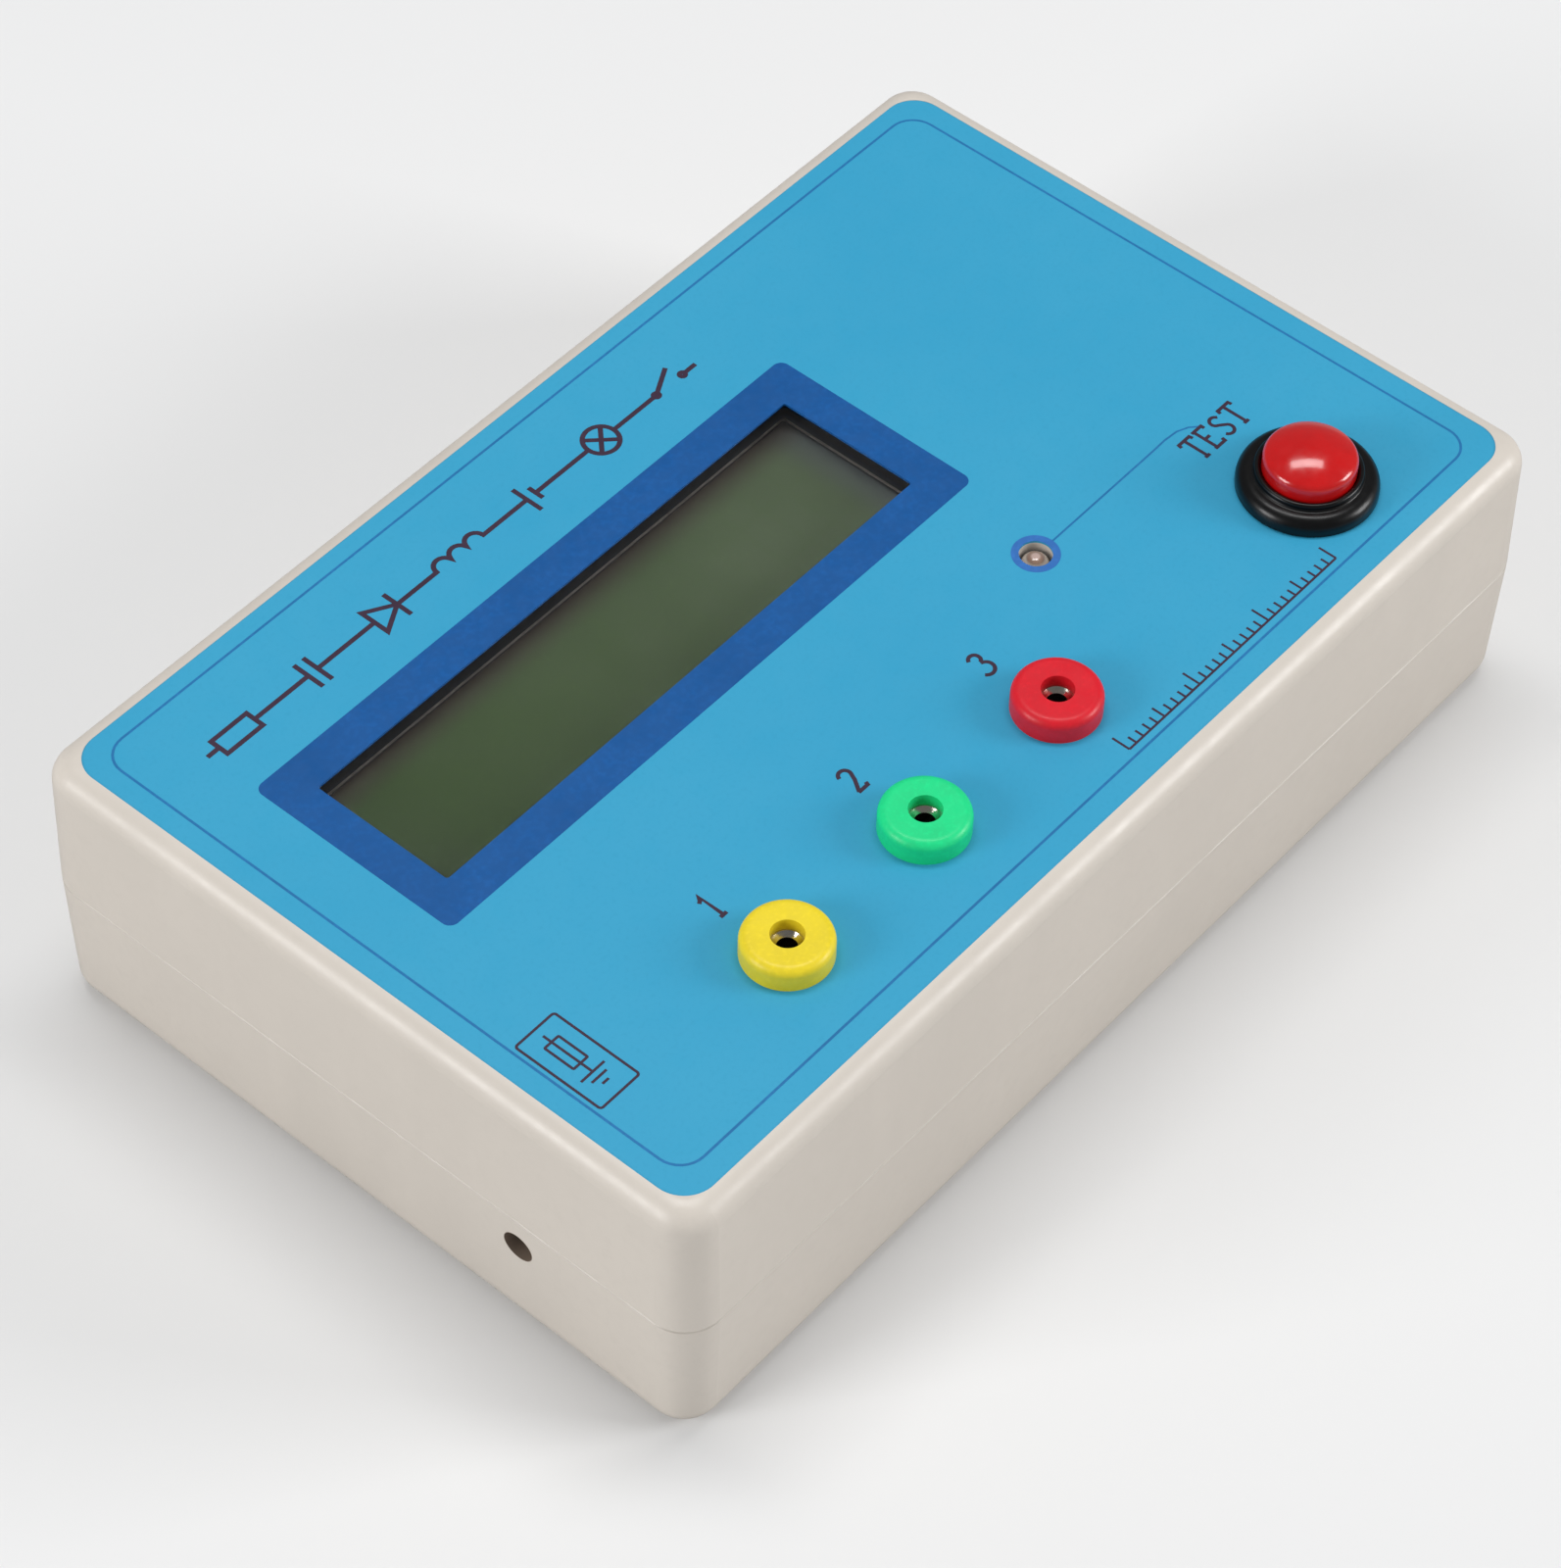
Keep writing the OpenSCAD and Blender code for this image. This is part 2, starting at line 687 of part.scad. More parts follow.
module case_screws() {
    color([0.7, 0.7, 0.72])
        at_points(post_points)
            translate([0, 0, case_screw_seat])
                rotate([180, 0, 0])
                    screw(case_screw_head_r, case_head_t, case_screw_r, case_screw_len - case_screw_r);
}

// ---- Front panel ----

module panel_film() {
    color([0.22, 0.63, 0.8])
        difference() {
            translate([0, 0, film_z])
                rounded_slab(film_w, film_d, film_t, film_r);
            translate([lcd_x, lcd_y, film_z - eps])
                rounded_slab(window_w, window_d, 1, 0.3);
            translate([lamp_x, lamp_y, film_z - eps])
                cylinder(1, lamp_r + hole_gap, lamp_r + hole_gap);
            at_points(socket_points)
                translate([0, 0, film_z - eps])
                    cylinder(1, neck_r + hole_gap, neck_r + hole_gap);
            translate([button_x, button_y, film_z - eps])
                cylinder(1, barrel_r + hole_gap, barrel_r + hole_gap);
        }
}

module window_pane() {
    color([0.8, 0.9, 0.85, 0.3])
        translate([lcd_x, lcd_y, film_z - pane_t])
            rounded_slab(window_w + 2 * pane_margin, window_d + 2 * pane_margin, pane_t, 0.9);
}

// ---- Display ----

module lcd_bezel() {
    inner_w = bezel_w - 2 * bezel_t;
    inner_d = bezel_d - 2 * bezel_t;
    color([0.08, 0.08, 0.08])
        translate([lcd_x, lcd_y, lcd_board_top]) {
            difference() {
                rounded_slab(bezel_w, bezel_d, lcd_rise, 0.9);
                translate([0, 0, -eps])
                    rounded_slab(inner_w, inner_d, lcd_rise - bezel_t + eps, 0.4);
                translate([0, 0, lcd_rise - bezel_t - eps])
                    rounded_slab(view_w, view_d, 1, 0.4);
            }
            for (x = [-tab_x, 0, tab_x], side = [-1, 1])
                translate([x - tab_w / 2, side * (bezel_d - bezel_t) / 2 - bezel_t / 2,
                    -board_t - tab_reach])
                    cube([tab_w, bezel_t, board_t + tab_reach + eps]);
        }
}

module lcd_cell() {
    color([0.33, 0.38, 0.25])
        translate([lcd_x, lcd_y, cell_z])
            block(bezel_w - 2 * cell_margin, bezel_d - 2 * cell_margin, cell_t);
}

module lcd_contact_strips() {
    strip_y = bezel_d / 2 - cell_margin - strip_d / 2 - 0.3;
    color([0.85, 0.5, 0.55])
        for (side = [-1, 1])
            translate([lcd_x, lcd_y + side * strip_y, lcd_board_top])
                block(bezel_w - 2 * strip_end, strip_d, cell_z - lcd_board_top);
}

module lcd_backlight() {
    back_d = bezel_d - 2 * (cell_margin + strip_d + 0.8);
    color([0.72, 0.8, 0.3])
        translate([lcd_x, lcd_y, lcd_board_top])
            block(bezel_w - 2 * backlight_end, back_d, cell_z - lcd_board_top);
}

module lcd_board() {
    color([0.1, 0.4, 0.2])
        difference() {
            translate([lcd_x, lcd_y, lcd_board_z])
                rounded_slab(lcd_board_w, lcd_board_d, board_t, 0.6);
            at_points(lcd_points)
                translate([0, 0, lcd_board_z - eps])
                    cylinder(board_t + 2 * eps, board_screw_r + 2 * hole_gap, board_screw_r + 2 * hole_gap);
            for (i = [0:pins - 1])
                translate([header_x + i * pin_pitch, header_y, lcd_board_z - eps])
                    cylinder(board_t + 2 * eps, pin_w / 2 + 0.18, pin_w / 2 + 0.18, $fn = 16);
            for (x = [-tab_x, 0, tab_x], side = [-1, 1])
                translate([lcd_x + x, lcd_y + side * (bezel_d - bezel_t) / 2, lcd_board_z - eps])
                    block(tab_w + 0.2, bezel_t + 0.2, board_t + 2 * eps);
        }
}

module lcd_driver_blobs() {
    dome_r = (blob_r * blob_r + blob_h * blob_h) / (2 * blob_h);
    color([0.06, 0.06, 0.06])
        for (x = [-14, 14])
            translate([lcd_x + x, lcd_y - 1, lcd_board_z])
                intersection() {
                    translate([0, 0, dome_r - blob_h])
                        sphere(dome_r, $fn = 96);
                    translate([0, 0, -blob_h - 1])
                        cylinder(blob_h + 1, blob_r + 1, blob_r + 1);
                }
}

module lcd_header() {
    color([0.12, 0.12, 0.12])
        difference() {
            translate([header_x - pin_pitch / 2, header_y - header_d / 2, lcd_board_z - header_t])
                cube([header_w, header_d, header_t]);
            for (i = [0:pins - 1])
                translate([header_x + i * pin_pitch, header_y, lcd_board_z - header_t - eps])
                    block(pin_w, pin_w, header_t + 2 * eps);
        }
    color([0.8, 0.7, 0.4])
        for (i = [0:pins - 1])
            translate([header_x + i * pin_pitch, header_y, lcd_board_z - pin_reach])
                block(pin_w, pin_w, pin_reach + board_t + 0.8);
}

module lcd_screws() {
    color([0.7, 0.7, 0.72])
        at_points(lcd_points)
            translate([0, 0, lcd_board_z])
                rotate([180, 0, 0])
                    screw(board_screw_head_r, screw_head_t, board_screw_r, board_t + 3);
}

module header_socket() {
    color([0.1, 0.1, 0.1])
        difference() {
            translate([header_x - pin_pitch / 2, header_y - header_d / 2, main_top])
                cube([header_w, header_d, socket_strip_h]);
            for (i = [0:pins - 1])
                translate([header_x + i * pin_pitch, header_y, main_top + 2.5])
                    block(pin_w + 2 * pin_gap, pin_w + 2 * pin_gap, socket_strip_h);
        }
    color([0.8, 0.7, 0.4])
        for (i = [0:pins - 1])
            translate([header_x + i * pin_pitch, header_y, main_top - lead_reach])
                block(lead_w, lead_w, lead_reach);
}

// ---- Main board and its components ----

// Holes for every lead that goes through the main board
module lead_hole() {
    translate([0, 0, main_z - eps])
        cylinder(board_t + 2 * eps, lead_hole_r, lead_hole_r, $fn = 16);
}

module main_board() {
    color([0.08, 0.35, 0.18])
        difference() {
            translate([(main_x0 + main_x1) / 2, 0, main_z])
                rounded_slab(main_x1 - main_x0, main_d, board_t, 1);
            at_points(main_points)
                translate([0, 0, main_z - eps])
                    cylinder(board_t + 2 * eps, board_screw_r + 2 * hole_gap, board_screw_r + 2 * hole_gap);
            for (i = [0:pins - 1])
                translate([header_x + i * pin_pitch, header_y, 0])
                    lead_hole();
            for (i = [0:chip_legs - 1], side = [-1, 1])
                translate([chip_x0 + i * pin_pitch, chip_y + side * chip_row, 0])
                    lead_hole();
            for (i = [0:resistor_count - 1], side = [-1, 1])
                translate([resistor_x0 + i * resistor_pitch, resistor_y + side * resistor_span / 2, 0])
                    lead_hole();
            for (side = [-1, 1]) {
                translate([lamp_x + side * pin_pitch / 2, lamp_y, 0])
                    lead_hole();
                translate([crystal_x + side * 2.44, crystal_y, 0])
                    lead_hole();
                at_points(disc_points)
                    translate([side * pin_pitch / 2, 0, 0])
                        lead_hole();
                at_points(electrolytic_points)
                    translate([side * pin_pitch / 2, 0, 0])
                        lead_hole();
            }
            for (i = [-1:1]) {
                at_points(concat([[regulator_x, regulator_y]], transistor_points))
                    translate([0, i * 1.27, 0])
                        cylinder_hole(0.3);
                translate([trimmer_x + trimmer_t / 2, adjust_y + i * pin_pitch, 0])
                    lead_hole();
            }
        }
}

// Narrow hole through the main board for close-set leads
module cylinder_hole(r) {
    translate([0, 0, main_z - eps])
        cylinder(board_t + 2 * eps, r, r, $fn = 16);
}

module board_screws() {
    shank_len = main_top - floor_t - board_screw_r - 0.5;
    color([0.7, 0.7, 0.72])
        at_points(main_points)
            translate([0, 0, main_top])
                screw(board_screw_head_r, screw_head_t, board_screw_r, shank_len);
}

module chip_socket() {
    w = chip_legs * pin_pitch;
    d = 10.2;
    color([0.12, 0.12, 0.12])
        difference() {
            translate([chip_x, chip_y, carrier_z])
                block(w, d, carrier_h);
            translate([chip_x, chip_y, carrier_z - eps])
                block(w - 5, 4.6, carrier_h + 2 * eps);
            for (i = [0:chip_legs - 1], side = [-1, 1])
                translate([chip_x0 + i * pin_pitch, chip_y + side * chip_row, carrier_z + 1])
                    block(0.9, 0.7, carrier_h);
            translate([chip_x - w / 2, chip_y, carrier_z + carrier_h - 0.8])
                cylinder(1, 1.4, 1.4);
        }
    color([0.8, 0.8, 0.8])
        for (i = [0:chip_legs - 1], side = [-1, 1])
            translate([chip_x0 + i * pin_pitch, chip_y + side * chip_row, main_top - lead_reach])
                block(lead_w, lead_w, lead_reach + carrier_z - main_top);
}

module microcontroller() {
    body_d = 7;
    body_w = chip_legs * pin_pitch - 1;
    leg_top = chip_z + chip_h / 2;
    color([0.1, 0.1, 0.1])
        difference() {
            translate([chip_x, chip_y, chip_z])
                block(body_w, body_d, chip_h);
            translate([chip_x - body_w / 2, chip_y, chip_z + chip_h - 0.5])
                cylinder(1, 1.2, 1.2);
        }
    color([0.8, 0.8, 0.8])
        for (i = [0:chip_legs - 1], side = [-1, 1])
            translate([chip_x0 + i * pin_pitch, chip_y + side * chip_row, 0]) {
                translate([0, 0, carrier_z + 1.4])
                    block(lead_w, 0.3, leg_top - carrier_z - 1.4);
                translate([0, 0, carrier_z + carrier_h])
                    block(1.3, 0.3, leg_top - carrier_z - carrier_h);
                translate([0, -side * 0.15, leg_top - 0.3])
                    block(1.3, 0.6, 0.3);
            }
}

module crystal() {
    can_w = 10.6;
    can_d = 4.2;
    can_z = main_top + 0.6;
    color([0.75, 0.75, 0.77])
        translate([crystal_x, crystal_y, 0]) {
            translate([0, 0, can_z])
                linear_extrude(3.3)
                    rounded_rect(can_w, can_d, can_d / 2 - eps);
            translate([0, 0, can_z])
                linear_extrude(0.5)
                    rounded_rect(can_w + 0.9, can_d + 0.9, can_d / 2 + 0.4);
            for (side = [-1, 1])
                translate([side * 2.44, 0, main_top - lead_reach])
                    cylinder(lead_reach + 0.6, lead_r, lead_r, $fn = 16);
        }
}

module disc_capacitors() {
    disc_r = 2.3;
    color([0.8, 0.5, 0.15])
        at_points(disc_points) {
            translate([0, 0.7, main_top + 1.4 + disc_r])
                rotate([90, 0, 0])
                    cylinder(1.4, disc_r, disc_r);
            for (side = [-1, 1])
                translate([side * pin_pitch / 2, 0, main_top - lead_reach])
                    cylinder(lead_reach + 2.2, lead_r, lead_r, $fn = 16);
        }
}

module electrolytic_capacitors() {
    can_z = main_top + 0.2;
    color([0.12, 0.16, 0.3])
        at_points(electrolytic_points) {
            difference() {
                translate([0, 0, can_z])
                    cylinder(electrolytic_h, electrolytic_r, electrolytic_r);
                for (turn = [0, 90])
                    rotate(turn)
                        translate([0, 0, can_z + electrolytic_h - 0.25])
                            block(electrolytic_r * 1.3, 0.3, 1);
            }
            for (side = [-1, 1])
                translate([side * pin_pitch / 2, 0, main_top - lead_reach])
                    cylinder(lead_reach + 0.2, lead_r, lead_r, $fn = 16);
        }
}

module resistors() {
    axis_z = main_top + resistor_r + 0.2;
    half = resistor_span / 2;
    for (i = [0:resistor_count - 1])
        translate([resistor_x0 + i * resistor_pitch, resistor_y, axis_z]) {
            color([0.45, 0.62, 0.75])
                rotate([90, 0, 0]) {
                    translate([0, 0, -resistor_l / 2])
                        cylinder(resistor_l, resistor_r - 0.15, resistor_r - 0.15, $fn = 32);
                    for (end = [-1, 1])
                        translate([0, 0, end * (resistor_l / 2 - 0.8) - 0.8])
                            cylinder(1.6, resistor_r, resistor_r, $fn = 32);
                }
            color([0.8, 0.8, 0.8])
                for (side = [-1, 1]) {
                    translate([0, side * half, 0])
                        sphere(lead_r, $fn = 16);
                    translate([0, side * half, -resistor_r - 0.2 - lead_reach])
                        cylinder(resistor_r + 0.2 + lead_reach, lead_r, lead_r, $fn = 16);
                    translate([0, side * half, 0])
                        rotate([side * 90, 0, 0])
                            cylinder(half - resistor_l / 2 + 0.1, lead_r, lead_r, $fn = 16);
                }
        }
}

// Three-legged package with one flat side
module three_leg_package() {
    package_r = 2.35;
    package_z = main_top + 3.6;
    color([0.1, 0.1, 0.1])
        translate([0, 0, package_z])
            linear_extrude(4.6)
                intersection() {
                    circle(package_r);
                    translate([-package_r, -package_r])
                        square([package_r + 1.3, 2 * package_r]);
                }
    color([0.8, 0.8, 0.8])
        for (i = [-1:1])
            translate([0, i * 1.27, main_top - lead_reach])
                block(0.36, 0.36, lead_reach + 3.6);
}

module regulator() {
    translate([regulator_x, regulator_y, 0])
        three_leg_package();
}

module transistors() {
    at_points(transistor_points)
        three_leg_package();
}

// ---- Contrast adjuster ----

module trimmer_body() {
    pocket_r = rotor_r + slide_gap;
    color([0.15, 0.35, 0.75])
        difference() {
            translate([trimmer_x, adjust_y - trimmer_w / 2, main_top])
                cube([trimmer_t, trimmer_w, trimmer_h]);
            translate([trimmer_x - 1, adjust_y, adjust_z])
                rotate([0, 90, 0])
                    cylinder(1 + rotor_x + rotor_len + 0.1 - trimmer_x, pocket_r, pocket_r);
        }
    color([0.8, 0.8, 0.8])
        for (i = [-1:1])
            translate([trimmer_x + trimmer_t / 2, adjust_y + i * pin_pitch, main_top - lead_reach])
                block(lead_w, lead_w, lead_reach);
}

module trimmer_rotor() {
    color([0.92, 0.9, 0.85])
        translate([rotor_x, adjust_y, adjust_z])
            rotate([0, 90, 0])
                difference() {
                    cylinder(rotor_len, rotor_r, rotor_r);
                    for (turn = [0, 90])
                        rotate(turn)
                            translate([0, 0, -eps])
                                block(rotor_r * 1.5, slot_w, slot_t + eps);
                    translate([0, rotor_r - 0.5, -eps])
                        cylinder(0.3, 0.3, 0.3, $fn = 16);
                }
}

// ---- Status lamp ----

module status_lamp() {
    tip_z = panel_z - lamp_drop;
    dome_z = tip_z - lamp_r;
    rim_z = tip_z - lamp_h;
    color([0.9, 0.75, 0.72, 0.7]) {
        translate([lamp_x, lamp_y, 0]) {
            intersection() {
                translate([0, 0, dome_z])
                    sphere(lamp_r);
                translate([0, 0, dome_z])
                    cylinder(lamp_r, lamp_r, lamp_r);
            }
            translate([0, 0, rim_z])
                cylinder(dome_z - rim_z, lamp_r, lamp_r);
            translate([0, 0, rim_z - 1])
                cylinder(1, lamp_r + 0.45, lamp_r + 0.45);
        }
    }
    color([0.8, 0.8, 0.8])
        for (side = [-1, 1])
            translate([lamp_x + side * pin_pitch / 2, lamp_y, main_top - lead_reach])
                block(lead_w, lead_w, rim_z - 1 - main_top + lead_reach + eps);
}

// ---- Test sockets ----

// Insulating ring with its threaded neck, turned about the socket's axis
module socket_ring(index) {
    p = socket_points[index];
    sleeve_bore_r = sleeve_r + slide_gap;
    translate([p[0], p[1], 0])
        rotate_extrude($fn = 96) {
            translate([ring_mouth_r, panel_z])
                square([ring_r - ring_edge - ring_mouth_r, ring_h]);
            translate([ring_mouth_r, panel_z])
                square([ring_r - ring_mouth_r, ring_h - ring_edge]);
            translate([ring_r - ring_edge, ring_top - ring_edge])
                circle(ring_edge);
            translate([sleeve_bore_r, neck_z])
                square([neck_r - sleeve_bore_r, sleeve_top - neck_z]);
        }
}

module socket_ring_yellow() {
    color([0.92, 0.84, 0.2])
        socket_body(0);
}

module socket_ring_green() {
    color([0.1, 0.8, 0.48])
        socket_body(1);
}

module socket_ring_red() {
    color([0.8, 0.12, 0.16])
        socket_body(2);
}

// Ring cleared for the contact sleeve below its mouth
module socket_body(index) {
    p = socket_points[index];
    difference() {
        socket_ring(index);
        translate([p[0], p[1], neck_z - 1])
            cylinder(sleeve_top - neck_z + 1, sleeve_r + slide_gap, sleeve_r + slide_gap);
    }
}

// Metal sleeve with the bore for a plug and a solder tag at its rear end
module socket_sleeve(index) {
    p = socket_points[index];
    color([0.82, 0.8, 0.76])
        translate([p[0], p[1], 0])
            difference() {
                union() {
                    translate([0, 0, sleeve_z])
                        cylinder(sleeve_top - sleeve_z, sleeve_r, sleeve_r);
                    translate([0, 0, sleeve_z - socket_tag_len])
                        block(socket_tag_w, socket_tag_t, socket_tag_len + eps);
                }
                translate([0, 0, sleeve_top - plug_depth])
                    cylinder(plug_depth + eps, plug_r, plug_r);
                translate([0, 0, sleeve_top - sleeve_cone])
                    cylinder(sleeve_cone + eps, plug_r, plug_r + sleeve_cone + eps);
                translate([0, 1, sleeve_z - socket_tag_len + 1.1])
                    rotate([90, 0, 0])
                        cylinder(2, 0.5, 0.5, $fn = 24);
            }
}

module socket_sleeve_1() {
    socket_sleeve(0);
}

module socket_sleeve_2() {
    socket_sleeve(1);
}

module socket_sleeve_3() {
    socket_sleeve(2);
}

module socket_nuts() {
    color([0.78, 0.77, 0.74])
        at_points(socket_points)
            translate([0, 0, plate_z - socket_nut_t])
                hex_nut(socket_nut_af, socket_nut_t, neck_r + slide_gap);
}

// Lead from a socket's tag to its pad on the main board
module socket_wire(index) {
    start = [socket_points[index][0], socket_y + socket_tag_t / 2 + tag_gap, sleeve_z - 1.6];
    route = [for (p = socket_route) start + p];
    lead(route);
}

module socket_wire_yellow() {
    color([0.9, 0.8, 0.2])
        socket_wire(0);
}

module socket_wire_green() {
    color([0.1, 0.6, 0.3])
        socket_wire(1);
}

module socket_wire_red() {
    color([0.75, 0.1, 0.1])
        socket_wire(2);
}

// ---- Push button ----

module button_body() {
    bevel = 1.1;
    color([0.06, 0.06, 0.07])
        translate([button_x, button_y, 0])
            difference() {
                rotate_extrude($fn = 128) {
                    polygon([[0, panel_z], [flange_r, panel_z], [flange_r, panel_z + flange_h - bevel],
                        [flange_r - bevel, panel_z + flange_h], [0, panel_z + flange_h]]);
                    polygon([[0, panel_z], [collar_r, panel_z], [collar_r, collar_top - 0.3],
                        [collar_r - 0.3, collar_top], [0, collar_top]]);
                    translate([0, barrel_z])
                        square([barrel_r, panel_z - barrel_z]);
                }
                translate([0, 0, web_top])
                    cylinder(collar_top - web_top + eps, cap_r + cap_gap, cap_r + cap_gap, $fn = 96);
                translate([0, 0, web_z - eps])
                    cylinder(web_t + 2 * eps, stem_r + slide_gap, stem_r + slide_gap);
                translate([0, 0, barrel_floor_z])
                    cylinder(web_z - barrel_floor_z, chamber_r, chamber_r);
                for (side = [-1, 1])
                    translate([side * (contact_x + contact_t / 2), 0, barrel_z - eps])
                        block(contact_t + 2 * slide_gap, contact_w + 2 * slide_gap, barrel_floor + 2 * eps);
            }
}

module button_washer() {
    color([0.75, 0.75, 0.77])
        translate([button_x, button_y, plate_z - washer_t])
            difference() {
                cylinder(washer_t, button_nut_af / 2 + 0.6, button_nut_af / 2 + 0.6);
                translate([0, 0, -eps])
                    cylinder(washer_t + 2 * eps, barrel_r + hole_gap, barrel_r + hole_gap);
            }
}

module button_nut() {
    color([0.75, 0.75, 0.77])
        translate([button_x, button_y, plate_z - washer_t - button_nut_t])
            hex_nut(button_nut_af, button_nut_t, barrel_r + slide_gap);
}

// Cap and stem in one moulding: a cylinder with a domed crown on a stepped stem
module button_cap() {
    crown_r = (cap_r * cap_r + cap_crown * cap_crown) / (2 * cap_crown);
    color([0.78, 0.1, 0.1])
        translate([button_x, button_y, 0]) {
            intersection() {
                translate([0, 0, cap_z])
                    cylinder(cap_top - cap_z, cap_r, cap_r, $fn = 96);
                translate([0, 0, cap_top - crown_r])
                    sphere(crown_r, $fn = 160);
            }
            translate([0, 0, bridge_top])
                cylinder(cap_z - bridge_top + eps, stem_r, stem_r);
            translate([0, 0, stem_tip_z])
                cylinder(bridge_top - stem_tip_z + eps, stem_tip_r, stem_tip_r);
        }
}

// Brass ring on the stem that closes the two contacts when the cap is pressed
module button_bridge() {
    color([0.8, 0.65, 0.3])
        translate([button_x, button_y, bridge_z])
            difference() {
                cylinder(bridge_t, bridge_r, bridge_r);
                translate([0, 0, -eps])
                    cylinder(bridge_t + 2 * eps, stem_tip_r + slide_gap, stem_tip_r + slide_gap);
            }
}

module button_spring() {
    steps = 14;
    first_z = barrel_floor_z + spring_wire / 2;
    rise = bridge_z - barrel_floor_z - spring_wire;
    coil = [for (i = [0:spring_turns * steps])
        let (turn = 360 * i / steps)
        [button_x + spring_r * cos(turn), button_y + spring_r * sin(turn),
         first_z + rise * i / (spring_turns * steps)]];
    color([0.75, 0.75, 0.78])
        wire(coil, spring_wire / 2, 6);
}

// Two brass strips that stand in the barrel's bottom and end in solder tags
module button_contacts() {
    color([0.8, 0.65, 0.3])
        translate([button_x, button_y, 0])
            for (side = [-1, 1])
                difference() {
                    translate([side * (contact_x + contact_t / 2), 0, barrel_z - tag_len])
                        block(contact_t, contact_w, contact_top - barrel_z + tag_len);
                    translate([side * contact_x, 0, barrel_z - tag_len + 0.9])
                        rotate([0, 90, 0])
                            translate([0, 0, -2])
                                cylinder(4, 0.5, 0.5, $fn = 24);
                }
}

module button_wires() {
    color([0.15, 0.15, 0.15]) {
        lead(near_button_route);
        lead(far_button_route);
    }
}

// ---- Battery ----

module battery() {
    color([0.2, 0.2, 0.22])
        translate([battery_x, battery_y1, floor_t + battery_t / 2])
            rotate([90, 0, 0])
                linear_extrude(battery_l)
                    rounded_rect(battery_w, battery_t, 2);
}

module battery_terminals() {
    color([0.8, 0.8, 0.8])
        translate([battery_x, battery_y1 + terminal_len, terminal_z])
            rotate([90, 0, 0]) {
                translate([-terminal_pitch / 2, 0, 0])
                    cylinder(terminal_len, 2.85, 2.85);
                translate([terminal_pitch / 2, 0, 0])
                    difference() {
                        cylinder(terminal_len, 4, 4, $fn = 6);
                        translate([0, 0, -eps])
                            cylinder(terminal_len - 0.5, 2.9, 2.9);
                    }
            }
}

module battery_clip() {
    pocket_r = 4.4;
    color([0.1, 0.1, 0.1])
        difference() {
            translate([battery_x, clip_y0 + clip_t, terminal_z])
                rotate([90, 0, 0])
                    linear_extrude(clip_t)
                        rounded_rect(clip_w, clip_h, 3);
            for (side = [-1, 1])
                translate([battery_x + side * terminal_pitch / 2, clip_y0 + terminal_len, terminal_z])
                    rotate([90, 0, 0])
                        cylinder(terminal_len + 1, pocket_r, pocket_r);
        }
}

module battery_lead_red() {
    color([0.75, 0.1, 0.1])
        lead(red_route);
}

module battery_lead_black() {
    color([0.08, 0.08, 0.08])
        lead(black_route);
}

bottom_shell();
top_shell();
case_screws();
panel_film();
window_pane();
lcd_bezel();
lcd_cell();
lcd_contact_strips();
lcd_backlight();
lcd_board();
lcd_driver_blobs();
lcd_header();
lcd_screws();
header_socket();
main_board();
board_screws();
chip_socket();
microcontroller();
crystal();
disc_capacitors();
electrolytic_capacitors();
resistors();
regulator();
transistors();
trimmer_body();
trimmer_rotor();
status_lamp();
socket_ring_yellow();
socket_ring_green();
socket_ring_red();
socket_sleeve_1();
socket_sleeve_2();
socket_sleeve_3();
socket_nuts();
socket_wire_yellow();
socket_wire_green();
socket_wire_red();
button_body();
button_washer();
button_nut();
button_cap();
button_bridge();
button_spring();
button_contacts();
button_wires();
battery();
battery_terminals();
battery_clip();
battery_lead_red();
battery_lead_black();
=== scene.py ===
"""Component tester: finishes, printed film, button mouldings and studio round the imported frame."""
import json
import math

import bmesh
import bpy
from mathutils import Matrix, Vector


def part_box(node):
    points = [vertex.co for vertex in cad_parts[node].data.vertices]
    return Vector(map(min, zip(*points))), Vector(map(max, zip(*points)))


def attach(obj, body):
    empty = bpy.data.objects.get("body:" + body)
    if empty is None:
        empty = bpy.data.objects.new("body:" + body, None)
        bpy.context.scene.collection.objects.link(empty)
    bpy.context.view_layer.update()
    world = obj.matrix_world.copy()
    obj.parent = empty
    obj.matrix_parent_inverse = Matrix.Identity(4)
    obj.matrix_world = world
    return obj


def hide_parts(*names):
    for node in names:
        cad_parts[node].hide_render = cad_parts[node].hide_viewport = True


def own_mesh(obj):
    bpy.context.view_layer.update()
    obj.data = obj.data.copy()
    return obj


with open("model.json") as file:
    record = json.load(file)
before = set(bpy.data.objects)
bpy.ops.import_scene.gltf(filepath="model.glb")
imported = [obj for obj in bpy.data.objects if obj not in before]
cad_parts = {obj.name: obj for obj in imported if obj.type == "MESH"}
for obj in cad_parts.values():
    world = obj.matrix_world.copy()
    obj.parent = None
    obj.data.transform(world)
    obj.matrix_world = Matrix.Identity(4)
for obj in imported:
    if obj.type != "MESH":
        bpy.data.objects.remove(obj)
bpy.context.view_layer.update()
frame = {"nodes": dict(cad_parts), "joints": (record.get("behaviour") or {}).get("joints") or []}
nodes = frame["nodes"]

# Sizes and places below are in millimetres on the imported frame's axes, unless they say otherwise
MM = 0.001


# ---- Camera ----

# Solved from the photograph's straight edges: its focal length in pixels, and its place in metres
IMAGE_LONG_SIDE = 1600
FOCAL_PX = 5023.7
SENSOR = 36.0
CAMERA_RIGHT = Vector((0.6515001, -0.75843122, 0.01815754))
CAMERA_UP = Vector((0.57425173, 0.508646, 0.64149373))
CAMERA_PLACE = Vector((-0.2401, -0.1944, 0.3736))


